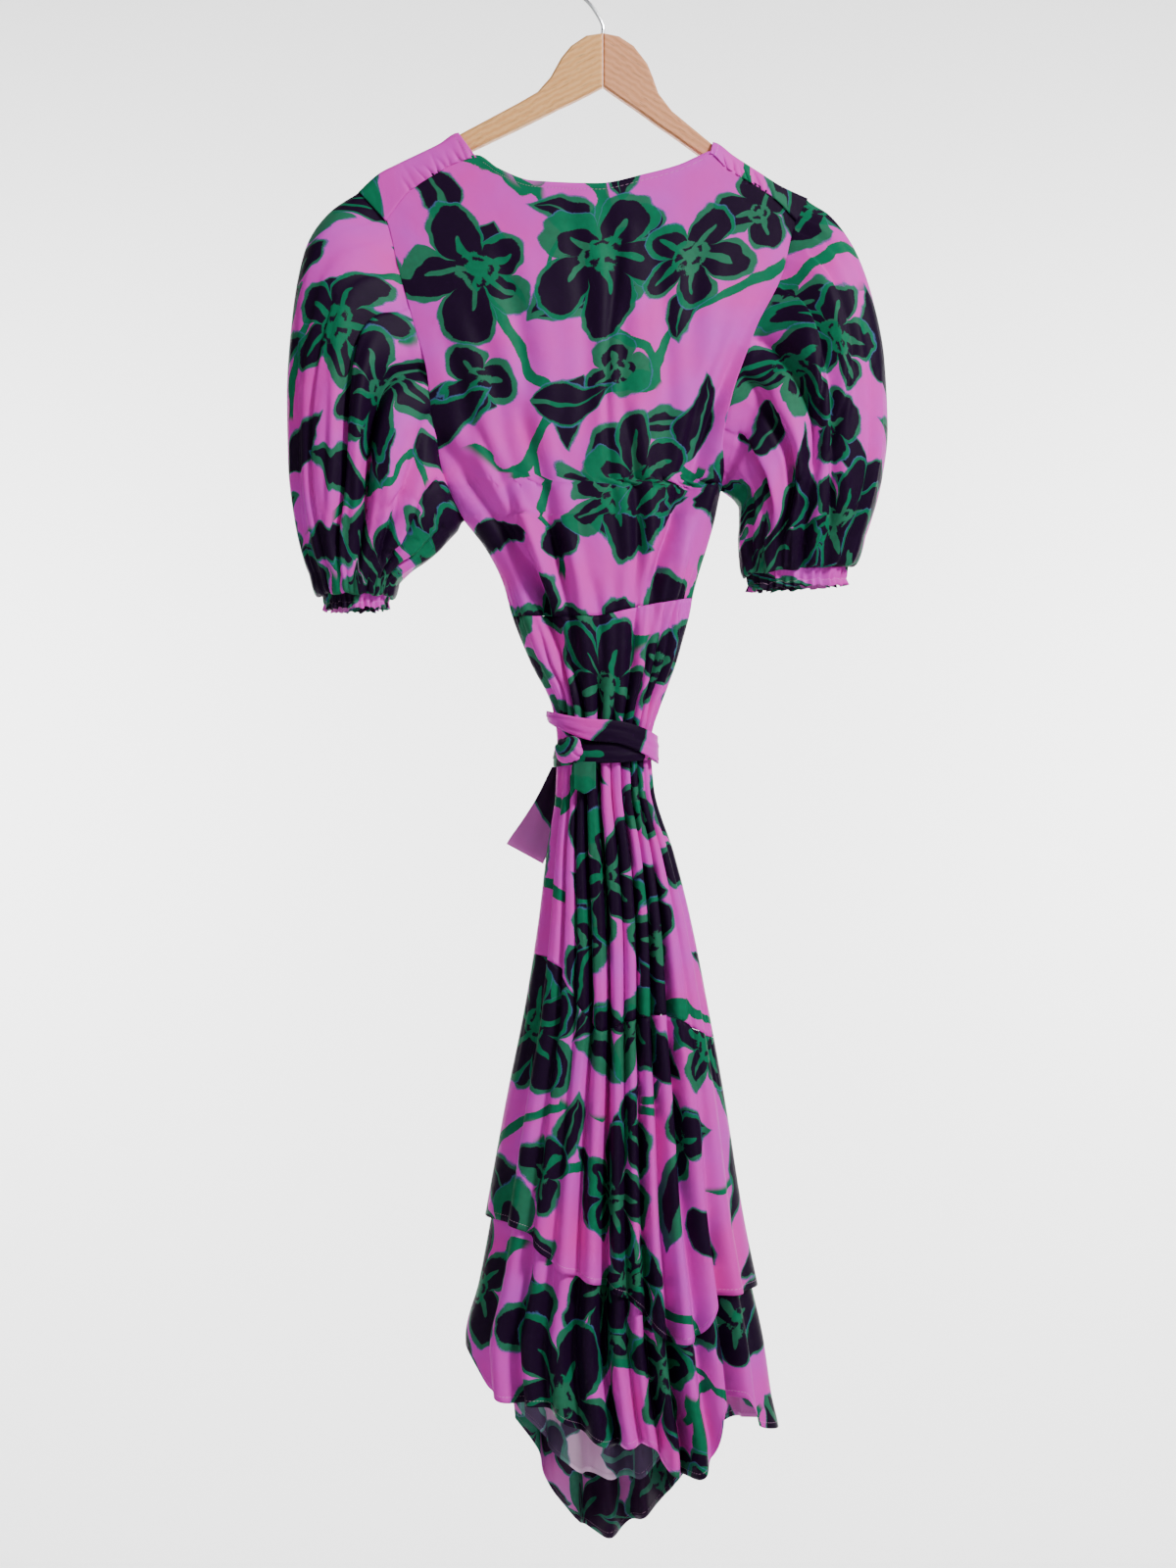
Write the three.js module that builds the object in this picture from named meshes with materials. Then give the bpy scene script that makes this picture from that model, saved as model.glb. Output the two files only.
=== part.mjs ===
import * as THREE from 'three';

// A wrap dress with puffed short sleeves and a two-tier flounced skirt, tied with its own belt
// and hung on a wooden hanger. Millimetres, +Z up. The wearer's front faces -Y and the wearer's
// left is +X. The origin is the inside of the hook's crown, where a rail carries it.

// Driving sizes
const WALL = 1.2; // cloth wall
const SEAM = 0.3; // gap left along a seam
const SHOULDER_SEAM = 1; // the same along the gathered shoulder
const KNEE_SEAM = 0.5; // the same along the slanting knee seam
const ARMHOLE_SEAM = { left: 2.2, right: 0.8 }; // sleeve head beside the faceted armhole
const HANGER_DEPTH = 12; // thickness of the wooden arms
const HOOK_RADIUS = 18; // inside radius of the hook
const HOOK_WIRE = 3.4; // wire diameter of the hook
const WRAP_INSET = 5; // under wrap behind the outer wrap, skin to skin
const TIER_START = 2.8; // lower tier inside the upper tier along the hidden seam
const TIER_INSET = 6; // lower tier inside the upper tier at the upper hem
const TIER_TUCK = 45; // how far above the upper hem the lower tier is sewn on
const BELT_WALL = 2; // folded belt cloth
const BELT_CLEAR = 0.6; // belt outside the gathered waist
const BELT_BELLY = 0.8; // how far the middle of the belt rounds out
const KNOT = { x: 24, z: -719, wide: 30, high: 25, deep: 15, clear: 2 }; // where the belt is tied
const TAIL = { x: 14.5, wide: 18, top: -730, bottom: -754, point: 5, clear: 1.2 }; // its short free end

// The body of the dress by height: where the cloth reaches on the wearer's left and right,
// and how far it stands to the back and to the front of the hanger's plane.
const BODY = [
  { z: -120, left: 235, right: -205, back: 12.5, front: 10.5 },
  { z: -235, left: 235, right: -205, back: 15, front: 14 },
  { z: -290, left: 218, right: -186, back: 22, front: 24 },
  { z: -350, left: 197, right: -160, back: 30, front: 33 },
  { z: -400, left: 181, right: -138, back: 34, front: 38 },
  { z: -440, left: 167, right: -121, back: 36, front: 40 },
  { z: -476, left: 150, right: -107, back: 37, front: 41 },
  { z: -506, left: 128, right: -102, back: 38, front: 41 },
  { z: -535, left: 106, right: -94, back: 38, front: 41 },
  { z: -565, left: 91, right: -85, back: 38, front: 41 },
  { z: -597, left: 82, right: -77, back: 38, front: 41 },
  { z: -637, left: 66, right: -67, back: 38, front: 40 },
  { z: -680, left: 45.5, right: -51, back: 37, front: 38 },
  { z: -712, left: 41, right: -43.5, back: 36, front: 37 },
  { z: -752, left: 42, right: -46, back: 37, front: 38 },
  { z: -815, left: 51, right: -65, back: 41, front: 41 },
  { z: -870, left: 57.5, right: -79, back: 46, front: 44 },
  { z: -950, left: 70, right: -95, back: 55, front: 52 },
  { z: -1035, left: 87, right: -110.5, back: 64, front: 60 },
  { z: -1144, left: 107, right: -128, back: 75, front: 70 },
  { z: -1207, left: 119, right: -141, back: 80, front: 75 },
  { z: -1256, left: 131, right: -152, back: 84, front: 80 },
  { z: -1310, left: 127, right: -160, back: 87, front: 84 },
  { z: -1345, left: 124, right: -167, back: 88, front: 87 },
  { z: -1470, left: 118, right: -170, back: 88, front: 90 },
];

// Folds across the back, from the wearer's left to right: where the trough lies as a share of
// the width at the belt, at the knee seam and at the hem, and its depth from chest to hem.
const BACK_FOLDS = [
  { belt: 0.04, knee: 0.07, hem: 0.06, chest: 0, seam: 1.5, waist: 3.5, knee_deep: 4, hem_deep: 6 },
  { belt: 0.11, knee: 0.18, hem: 0.16, chest: 0.5, seam: 2, waist: 5, knee_deep: 4, hem_deep: 11 },
  { belt: 0.18, knee: 0.27, hem: 0.26, chest: 0.5, seam: 3, waist: 5, knee_deep: 3, hem_deep: 8 },
  { belt: 0.26, knee: 0.36, hem: 0.36, chest: 1, seam: 2.5, waist: 6, knee_deep: 8, hem_deep: 9 },
  { belt: 0.43, knee: 0.46, hem: 0.47, chest: 1.5, seam: 2, waist: 7, knee_deep: 11, hem_deep: 16 },
  { belt: 0.58, knee: 0.54, hem: 0.55, chest: 2, seam: 3, waist: 3, knee_deep: 5, hem_deep: 9 },
  { belt: 0.71, knee: 0.61, hem: 0.61, chest: 1, seam: 3, waist: 6, knee_deep: 8, hem_deep: 12 },
  { belt: 0.8, knee: 0.69, hem: 0.69, chest: 1, seam: 3.5, waist: 5, knee_deep: 7, hem_deep: 18 },
  { belt: 0.87, knee: 0.79, hem: 0.78, chest: 0.5, seam: 3, waist: 5, knee_deep: 12, hem_deep: 9 },
  { belt: 0.93, knee: 0.9, hem: 0.875, chest: 0.5, seam: 3, waist: 4, knee_deep: 2, hem_deep: 18 },
  { belt: 0.975, knee: 0.97, hem: 0.96, chest: 0, seam: 2, waist: 3, knee_deep: 1.5, hem_deep: 5 },
];

// Folds across the front, the same columns. The outer wrap and the under wrap both follow them.
const FRONT_FOLDS = [
  { belt: 0.05, knee: 0.06, hem: 0.07, chest: 0, seam: 2, waist: 4, knee_deep: 5, hem_deep: 8 },
  { belt: 0.14, knee: 0.18, hem: 0.17, chest: 0.5, seam: 2.5, waist: 5, knee_deep: 7, hem_deep: 13 },
  { belt: 0.27, knee: 0.3, hem: 0.3, chest: 1, seam: 3, waist: 5.5, knee_deep: 9, hem_deep: 17 },
  { belt: 0.4, knee: 0.42, hem: 0.43, chest: 1, seam: 3, waist: 5.5, knee_deep: 7, hem_deep: 13 },
  { belt: 0.54, knee: 0.55, hem: 0.56, chest: 1, seam: 3, waist: 5.5, knee_deep: 10, hem_deep: 19 },
  { belt: 0.68, knee: 0.68, hem: 0.68, chest: 1, seam: 3, waist: 5.5, knee_deep: 7, hem_deep: 14 },
  { belt: 0.81, knee: 0.8, hem: 0.8, chest: 0.5, seam: 2.5, waist: 5, knee_deep: 6, hem_deep: 15 },
  { belt: 0.93, knee: 0.92, hem: 0.92, chest: 0, seam: 2, waist: 4, knee_deep: 3, hem_deep: 7 },
];

// Slanting creases that swag from the armholes and the back to the gathered waist
const BACK_CREASES = [
  { fromX: 158, fromZ: -420, toX: 30, toZ: -640, deep: 5, wide: 9 },
  { fromX: 112, fromZ: -500, toX: 40, toZ: -660, deep: 4, wide: 7 },
  { fromX: -130, fromZ: -350, toX: -62, toZ: -560, deep: 5, wide: 9 },
  { fromX: -78, fromZ: -500, toX: -18, toZ: -670, deep: 4, wide: 7 },
  { fromX: -18, fromZ: -430, toX: -21, toZ: -640, deep: 3.5, wide: 6 },
  { fromX: 18, fromZ: -205, toX: 12, toZ: -330, deep: 1.6, wide: 7 },
  { fromX: -45, fromZ: -200, toX: -38, toZ: -340, deep: 1.4, wide: 8 },
];
const FRONT_CREASES = [
  { fromX: 150, fromZ: -430, toX: 40, toZ: -640, deep: 4.5, wide: 9 },
  { fromX: -120, fromZ: -400, toX: -48, toZ: -590, deep: 4.5, wide: 9 },
  { fromX: -98, fromZ: -330, toX: -10, toZ: -560, deep: 3.5, wide: 10 },
  { fromX: -60, fromZ: -470, toX: 10, toZ: -660, deep: 4, wide: 7 },
];

// Heights where the fold columns above are read
const FOLD_HEIGHTS = { chest: -400, seam: -590, waist: -712, knee: -970, hem: -1330 };

// Armhole seam, the same on the back and the front, from the shoulder's crest to the underarm
const ARMHOLE_LEFT = [
  { z: -208, x: 224 },
  { z: -233, x: 198 },
  { z: -277, x: 187 },
  { z: -327, x: 173 },
  { z: -376, x: 160 },
  { z: -432, x: 154 },
  { z: -462, x: 149 },
  { z: -485, x: 140 },
  { z: -506, x: 127.5 },
];
const ARMHOLE_RIGHT = [
  { z: -213, x: -188 },
  { z: -233, x: -177 },
  { z: -287, x: -163 },
  { z: -332, x: -141 },
  { z: -361, x: -130 },
  { z: -398, x: -117 },
  { z: -440, x: -107 },
  { z: -476, x: -105 },
];

// Top line of the shoulders, which lies on the hanger
const CREST = [
  { x: 226, z: -209 },
  { x: 205, z: -190 },
  { x: 189, z: -181.7 },
  { x: 150, z: -162.8 },
  { x: 133, z: -152.9 },
  { x: -101, z: -161.5 },
  { x: -120.6, z: -174.5 },
  { x: -143, z: -188.9 },
  { x: -163, z: -201.5 },
  { x: -190, z: -214 },
];

// Section of the cloth over a wooden arm: how far it stands off the hanger's plane at each drop
// below the crest
const OVER_ARM = [
  { drop: 0, off: 0 },
  { drop: 1.4, off: 7 },
  { drop: 8, off: 7.9 },
  { drop: 30, off: 8.6 },
  { drop: 60, off: 9 },
];

// Top edge of the back bodice: shoulder seam, neckline, shoulder seam
const BACK_TOP = [
  { x: 198, z: -233 },
  { x: 179, z: -208 },
  { x: 168, z: -199.7 },
  { x: 152, z: -189.8 },
  { x: 133, z: -180 },
  { x: 115, z: -175.4 },
  { x: 94.5, z: -188 },
  { x: 64, z: -199 },
  { x: 5, z: -201.5 },
  { x: -40, z: -192.5 },
  { x: -69, z: -184.4 },
  { x: -89, z: -175.5 },
  { x: -98, z: -172 },
  { x: -112, z: -184 },
  { x: -143, z: -203 },
  { x: -160, z: -215 },
  { x: -177, z: -233 },
];

// The V of the wrap: the neck edge of each front, down to the waist seam
const WRAP_EDGE_RIGHT = [
  { z: -161.5, x: -101 },
  { z: -230, x: -92 },
  { z: -300, x: -70 },
  { z: -370, x: -36 },
  { z: -440, x: 6 },
  { z: -520, x: 42 },
  { z: -600, x: 58 },
];
const WRAP_EDGE_LEFT = [
  { z: -152.9, x: 133 },
  { z: -230, x: 119 },
  { z: -300, x: 92 },
  { z: -370, x: 52 },
  { z: -440, x: 8 },
  { z: -520, x: -34 },
  { z: -600, x: -50 },
];

// Seams and hems across the back: share of the width from the wearer's left, and height
const WAIST_BACK = [
  { share: 0, z: -597 },
  { share: 0.45, z: -598 },
  { share: 0.7, z: -590 },
  { share: 1, z: -580 },
];
const KNEE_BACK = [
  { share: 0, z: -905 },
  { share: 0.12, z: -912 },
  { share: 0.3, z: -952 },
  { share: 0.42, z: -972 },
  { share: 0.55, z: -964 },
  { share: 0.75, z: -958 },
  { share: 1, z: -982 },
];
const UPPER_HEM_BACK = [
  { share: 0, z: -1144 },
  { share: 0.11, z: -1148 },
  { share: 0.3, z: -1184 },
  { share: 0.46, z: -1199 },
  { share: 0.56, z: -1212 },
  { share: 0.7, z: -1250 },
  { share: 0.79, z: -1244 },
  { share: 0.87, z: -1212 },
  { share: 1, z: -1208 },
];
const LOWER_HEM_BACK = [
  { share: 0, z: -1262 },
  { share: 0.05, z: -1296 },
  { share: 0.14, z: -1308 },
  { share: 0.24, z: -1328 },
  { share: 0.36, z: -1352 },
  { share: 0.46, z: -1352 },
  { share: 0.57, z: -1338 },
  { share: 0.65, z: -1366 },
  { share: 0.72, z: -1370 },
  { share: 0.79, z: -1352 },
  { share: 0.84, z: -1308 },
  { share: 0.91, z: -1302 },
  { share: 0.955, z: -1330 },
  { share: 1, z: -1338 },
];

// Seams and hems across the front, the same columns
const WAIST_FRONT = [
  { share: 0, z: -597 },
  { share: 1, z: -580 },
];
const KNEE_FRONT = [
  { share: 0, z: -905 },
  { share: 0.5, z: -950 },
  { share: 1, z: -982 },
];
const UPPER_HEM_FRONT = [
  { share: 0, z: -1144 },
  { share: 0.25, z: -1200 },
  { share: 0.5, z: -1240 },
  { share: 0.75, z: -1228 },
  { share: 1, z: -1208 },
];
const LOWER_HEM_FRONT = [
  { share: 0, z: -1262 },
  { share: 0.12, z: -1340 },
  { share: 0.25, z: -1420 },
  { share: 0.33, z: -1448 },
  { share: 0.42, z: -1461 },
  { share: 0.52, z: -1446 },
  { share: 0.62, z: -1426 },
  { share: 0.72, z: -1392 },
  { share: 0.86, z: -1345 },
  { share: 1, z: -1338 },
];

// Rings of each puffed sleeve from just below the armhole to the cuff: the outer point, the
// inner point beside the body, and half the depth from front to back.
const SLEEVE_LEFT = [
  { outX: 247, outZ: -223, inX: 130.5, inZ: -511, deep: 32 },
  { outX: 271, outZ: -256, inX: 133, inZ: -517, deep: 42 },
  { outX: 284, outZ: -320, inX: 141, inZ: -526, deep: 49 },
  { outX: 289, outZ: -392, inX: 150, inZ: -536, deep: 52 },
  { outX: 288, outZ: -456, inX: 162, inZ: -546, deep: 52 },
  { outX: 282.5, outZ: -506, inX: 174, inZ: -554, deep: 50 },
  { outX: 272, outZ: -550, inX: 184, inZ: -563, deep: 48 },
  { outX: 260, outZ: -574, inX: 192, inZ: -572, deep: 42 },
];
const SLEEVE_RIGHT = [
  { outX: -208, outZ: -227, inX: -107.5, inZ: -481, deep: 26 },
  { outX: -231, outZ: -258, inX: -113, inZ: -485, deep: 40 },
  { outX: -248, outZ: -304, inX: -120, inZ: -491, deep: 47 },
  { outX: -259, outZ: -362, inX: -124, inZ: -499, deep: 50 },
  { outX: -262, outZ: -425, inX: -124, inZ: -512, deep: 50 },
  { outX: -257, outZ: -470, inX: -123, inZ: -526, deep: 48 },
  { outX: -246, outZ: -512, inX: -123, inZ: -541, deep: 42 },
  { outX: -230, outZ: -550, inX: -126, inZ: -556, deep: 30 },
];

// Folds round a sleeve: angle from the outer side (0) over the back (90) to the body (180) and
// the front (270), with the depth at the gathered head, half way and at the cuff.
const SLEEVE_FOLDS = [
  { angle: 16, head: 3, middle: 1, cuff: 2 },
  { angle: 41, head: 6, middle: 5, cuff: 5 },
  { angle: 63, head: 3, middle: 3, cuff: 3 },
  { angle: 88, head: 8, middle: 12, cuff: 6 },
  { angle: 116, head: 3, middle: 5, cuff: 3 },
  { angle: 139, head: 1, middle: 9, cuff: 5 },
  { angle: 198, head: 2, middle: 3, cuff: 3 },
  { angle: 226, head: 5, middle: 10, cuff: 5 },
  { angle: 259, head: 4, middle: 4, cuff: 3 },
  { angle: 281, head: 7, middle: 9, cuff: 6 },
  { angle: 314, head: 4, middle: 3, cuff: 3 },
  { angle: 336, head: 5, middle: 2, cuff: 3 },
];

// Elastic cuff below the last ring: drop from it, and size beside it
const CUFF_ROWS = [
  { drop: 0.6, size: 0.97, crinkle: 0 },
  { drop: 8, size: 0.92, crinkle: 1.2 },
  { drop: 18, size: 0.97, crinkle: 2.6 },
];
const CUFF_CRINKLES = 9;

// Outline of each wooden arm from the mitred centre to the tip: top and bottom edge
const ARM_LEFT = [
  { x: 0, top: -61.5, bottom: -110.3 },
  { x: 15, top: -63.8, bottom: -118 },
  { x: 29, top: -73, bottom: -125 },
  { x: 38, top: -84, bottom: -129 },
  { x: 48, top: -102, bottom: -134 },
  { x: 60, top: -115.5, bottom: -140 },
  { x: 78, top: -126, bottom: -149 },
  { x: 131, top: -154.3, bottom: -174 },
  { x: 150, top: -165.3, bottom: -185 },
  { x: 189, top: -184.2, bottom: -205 },
  { x: 203, top: -192.2, bottom: -211 },
  { x: 209, top: -200, bottom: -210 },
];
const ARM_RIGHT = [
  { x: 0, top: -61.5, bottom: -110.3 },
  { x: -15, top: -64.5, bottom: -121 },
  { x: -28.4, top: -73.3, bottom: -130 },
  { x: -41, top: -89.8, bottom: -139 },
  { x: -46, top: -102.2, bottom: -143 },
  { x: -51, top: -116.7, bottom: -146.5 },
  { x: -63.5, top: -133.1, bottom: -155 },
  { x: -101, top: -164, bottom: -182 },
  { x: -120.6, top: -177, bottom: -196 },
  { x: -143, top: -191.4, bottom: -211 },
  { x: -163, top: -204, bottom: -223 },
  { x: -172, top: -213, bottom: -224 },
];
const ARM_CHAMFER = 2;

// Belt passes round the waist: height and width of the folded strip at the wearer's left, the
// back centre, the wearer's right and the front centre
const BELT_UNDER = [
  { z: -727, wide: 15 },
  { z: -722, wide: 18 },
  { z: -718, wide: 17 },
  { z: -722, wide: 18 },
];
const BELT_OVER = [
  { z: -688, wide: 10 },
  { z: -702, wide: 20 },
  { z: -719, wide: 25 },
  { z: -703, wide: 18 },
];

// The bow's loop, a flat strip down, round its fold and up again: both edges and the plane
const LOOP = [
  { outX: 47, outZ: -734, inX: 37, inZ: -734.6, y: -25 },
  { outX: 62, outZ: -764, inX: 40, inZ: -772, y: -29 },
  { outX: 77, outZ: -788, inX: 46, inZ: -800, y: -32 },
  { outX: 86.5, outZ: -801, inX: 53, inZ: -819, y: -32 },
  { outX: 89.5, outZ: -806, inX: 55.5, inZ: -824.5, y: -28 },
  { outX: 86.5, outZ: -801, inX: 53, inZ: -819, y: -24 },
  { outX: 76, outZ: -786, inX: 46, inZ: -797, y: -23 },
  { outX: 60, outZ: -761, inX: 40, inZ: -768, y: -22.5 },
  { outX: 46, outZ: -734, inX: 37, inZ: -734.6, y: -22.3 },
];

// Hem of the under wrap's lower flounce, which ends higher than the outer one
const LOWER_HEM_UNDER = [
  { share: 0, z: -1262 },
  { share: 0.12, z: -1336 },
  { share: 0.25, z: -1382 },
  { share: 0.36, z: -1398 },
  { share: 0.5, z: -1402 },
  { share: 0.68, z: -1376 },
  { share: 1, z: -1340 },
];

// Smooth line through one column of a table, read at one value of its key column
function curve(rows, key, column) {
  const sorted = [...rows].sort((a, b) => a[key] - b[key]);
  const xs = sorted.map((row) => row[key]);
  const ys = sorted.map((row) => row[column]);
  const rise = xs.slice(1).map((x, i) => (ys[i + 1] - ys[i]) / (x - xs[i]));
  const slope = ys.map((y, i) => {
    if (i === 0) return rise[0];
    if (i === ys.length - 1) return rise[i - 1];
    return rise[i - 1] * rise[i] <= 0 ? 0 : (2 * rise[i - 1] * rise[i]) / (rise[i - 1] + rise[i]);
  });
  return (value) => {
    const x = Math.min(Math.max(value, xs[0]), xs[xs.length - 1]);
    let i = 0;
    while (i < xs.length - 2 && x > xs[i + 1]) i += 1;
    const span = xs[i + 1] - xs[i];
    const u = (x - xs[i]) / span;
    return ys[i] * (1 + 2 * u) * (1 - u) ** 2 + slope[i] * span * u * (1 - u) ** 2
      + ys[i + 1] * u * u * (3 - 2 * u) + slope[i + 1] * span * u * u * (u - 1);
  };
}

const lerp = (a, b, u) => a + (b - a) * u;
const clamp = (u) => Math.min(Math.max(u, 0), 1);
const angleOfShare = (share) => Math.acos(1 - 2 * clamp(share)) / Math.PI;
const shareOfAngle = (turn) => (1 - Math.cos(Math.PI * turn)) / 2;

const bodyLeft = curve(BODY, 'z', 'left');
const bodyRight = curve(BODY, 'z', 'right');
const bodyBack = curve(BODY, 'z', 'back');
const bodyFront = curve(BODY, 'z', 'front');

// Depth and place of every fold of one side at one height, as turns 0 to 1 round that side
function foldsAt(folds, z) {
  const { chest, seam, waist, knee, hem } = FOLD_HEIGHTS;
  const low = clamp((waist - z) / (waist - knee));
  const lower = clamp((knee - z) / (knee - hem));
  return folds.map((fold) => {
    const share = z > knee ? lerp(fold.belt, fold.knee, low) : lerp(fold.knee, fold.hem, lower);
    const stops = [
      { z: chest + 150, deep: 0 },
      { z: chest, deep: fold.chest },
      { z: seam, deep: fold.seam },
      { z: waist, deep: fold.waist },
      { z: knee, deep: fold.knee_deep },
      { z: hem, deep: fold.hem_deep },
    ];
    return { turn: angleOfShare(share), deep: curve(stops, 'z', 'deep')(z) };
  });
}

// Depth of the pleated cloth below its ridges at one turn, from the folds beside it
function troughDepth(folds, turn) {
  for (let i = 0; i < folds.length; i += 1) {
    const start = i === 0 ? 0 : (folds[i - 1].turn + folds[i].turn) / 2;
    const end = i === folds.length - 1 ? 1 : (folds[i].turn + folds[i + 1].turn) / 2;
    if (turn >= start && turn <= end) {
      const centre = folds[i].turn;
      const u = turn < centre
        ? (0.5 * (turn - start)) / (centre - start)
        : 0.5 + (0.5 * (turn - centre)) / (end - centre);
      return folds[i].deep * Math.sin(Math.PI * u) ** 2;
    }
  }
  return 0;
}

// Depth of the slanting creases at one point of a side, largest along each crease's line
function creaseDepth(creases, x, z) {
  return creases.reduce((total, crease) => {
    const run = new THREE.Vector2(crease.toX - crease.fromX, crease.toZ - crease.fromZ);
    const away = new THREE.Vector2(x - crease.fromX, z - crease.fromZ);
    const share = away.dot(run) / run.lengthSq();
    const off = away.cross(run) / run.length();
    const fade = Math.sin(Math.PI * clamp(share)) ** 0.7;
    return total + crease.deep * fade * Math.exp(-((off / crease.wide) ** 2));
  }, 0);
}

// A point on the outside of the dress: side 1 is the back, -1 the front; turn runs 0 to 1 from
// the wearer's left to right; inset moves it inwards, and folded scales the pleats.
function bodyPoint(side, turn, z, inset = 0, folded = 1, foldTurn = turn) {
  const half = (bodyLeft(z) - bodyRight(z)) / 2;
  const centre = (bodyLeft(z) + bodyRight(z)) / 2;
  const deep = side > 0 ? bodyBack(z) : bodyFront(z);
  const angle = Math.PI * turn;
  const across = Math.cos(angle);
  const along = Math.max(Math.sin(angle), 0) ** 0.75;
  const normal = new THREE.Vector2(across * deep, Math.sin(angle) * half).normalize();
  const folds = foldsAt(side > 0 ? BACK_FOLDS : FRONT_FOLDS, z);
  const creased = folded * creaseDepth(side > 0 ? BACK_CREASES : FRONT_CREASES, centre + half * across, z);
  const sink = folded * troughDepth(folds, foldTurn) + creased + inset;
  const x = centre + half * across - normal.x * sink;
  const y = side * Math.max(deep * along - normal.y * sink, 0);
  return new THREE.Vector3(x, y, z);
}

// Width position of a turn at a height, without folds, and the turn that has a given x
const bodyX = (turn, z) => (
  (bodyLeft(z) + bodyRight(z)) / 2 + ((bodyLeft(z) - bodyRight(z)) / 2) * Math.cos(Math.PI * turn));

function turnOfX(x, z) {
  const half = (bodyLeft(z) - bodyRight(z)) / 2;
  const centre = (bodyLeft(z) + bodyRight(z)) / 2;
  return Math.acos(Math.min(Math.max((x - centre) / half, -1), 1)) / Math.PI;
}

// Closed wall through a grid of outer points: the inner skin lies one wall thickness inside,
// along the grid's own normals, and open borders get a rim. A ring's last column meets its
// first. Level rows are thickened straight across, so that their rims lie flat on a seam.
function wall(grid, thickness, { ring = false, levelRows = () => false } = {}) {
  const rows = grid.length;
  const columns = grid[0].length;
  const at = (r, c) => grid[Math.min(Math.max(r, 0), rows - 1)][
    ring ? (c + columns) % columns : Math.min(Math.max(c, 0), columns - 1)];
  const normalAt = (r, c) => {
    const acrossStep = at(r, c + 1).clone().sub(at(r, c)).normalize()
      .add(at(r, c).clone().sub(at(r, c - 1)).normalize());
    const downStep = at(r + 1, c).clone().sub(at(r - 1, c));
    const normal = acrossStep.cross(downStep);
    if (levelRows(r, rows)) normal.setZ(0);
    return normal.normalize();
  };
  const outer = grid.flat();
  const inner = grid.flatMap((row, r) => row.map((point, c) => (
    point.clone().addScaledVector(normalAt(r, c), -thickness))));
  return closedSkins(outer, inner, rows, columns, ring);
}

// Geometry from two matching skins of points, joined along their open borders
function closedSkins(outer, inner, rows, columns, ring) {
  const points = [...outer, ...inner];
  const count = outer.length;
  const faces = [];
  const id = (r, c) => r * columns + (c % columns);
  const quad = (a, b, c, d) => faces.push(a, b, c, a, c, d);
  const lastColumn = ring ? columns : columns - 1;
  for (let r = 0; r < rows - 1; r += 1) {
    for (let c = 0; c < lastColumn; c += 1) {
      const [a, b, d, e] = [id(r, c), id(r, c + 1), id(r + 1, c + 1), id(r + 1, c)];
      quad(a, e, d, b);
      quad(a + count, b + count, d + count, e + count);
    }
  }
  for (let c = 0; c < lastColumn; c += 1) {
    quad(id(0, c), id(0, c + 1), id(0, c + 1) + count, id(0, c) + count);
    quad(id(rows - 1, c + 1), id(rows - 1, c), id(rows - 1, c) + count, id(rows - 1, c + 1) + count);
  }
  if (!ring) {
    for (let r = 0; r < rows - 1; r += 1) {
      const end = columns - 1;
      quad(id(r + 1, 0), id(r, 0), id(r, 0) + count, id(r + 1, 0) + count);
      quad(id(r, end), id(r + 1, end), id(r + 1, end) + count, id(r, end) + count);
    }
  }
  return facingOut(points, faces);
}

// Geometry whose faces are turned over when they enclose a negative volume
function facingOut(points, faces) {
  let volume = 0;
  for (let i = 0; i < faces.length; i += 3) {
    const [a, b, c] = [points[faces[i]], points[faces[i + 1]], points[faces[i + 2]]];
    volume += a.dot(b.clone().cross(c));
  }
  if (volume < 0) faces.reverse();
  const geometry = new THREE.BufferGeometry();
  geometry.setAttribute('position', new THREE.Float32BufferAttribute(points.flatMap((p) => p.toArray()), 3));
  geometry.setIndex(faces);
  geometry.computeVertexNormals();
  return geometry;
}

// Turns of the columns of one side: shares of every fold from ridge to ridge, at the knee
function foldColumns(folds, from, to, cuts) {
  const placed = foldsAt(folds, FOLD_HEIGHTS.knee);
  const turns = placed.flatMap((fold, i) => {
    const start = i === 0 ? 0 : (placed[i - 1].turn + fold.turn) / 2;
    const end = i === placed.length - 1 ? 1 : (fold.turn + placed[i + 1].turn) / 2;
    return cuts.map((u) => (u < 0.5 ? lerp(start, fold.turn, 2 * u) : lerp(fold.turn, end, 2 * u - 1)));
  });
  return [from, ...turns.filter((turn) => turn > from + 0.012 && turn < to - 0.012), to];
}
const ROUND_CUTS = [0, 0.28, 0.5, 0.72];
const PLAIN_CUTS = [0, 0.5];

// Height of a seam or hem on one column, which drifts sideways with its fold
function heightOn(line, folds, column) {
  let z = line(shareOfAngle(column));
  for (let pass = 0; pass < 3; pass += 1) z = line(shareOfAngle(followFolds(folds, column, z)));
  return z;
}

// A fold's columns follow it down the cloth: the turn at a height of a column set at the knee
function followFolds(folds, turn, z) {
  const here = [0, ...foldsAt(folds, z).map((fold) => fold.turn), 1];
  const base = [0, ...foldsAt(folds, FOLD_HEIGHTS.knee).map((fold) => fold.turn), 1];
  let i = 0;
  while (i < base.length - 2 && turn > base[i + 1]) i += 1;
  const u = clamp((turn - base[i]) / (base[i + 1] - base[i]));
  return lerp(here[i], here[i + 1], u);
}

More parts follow.
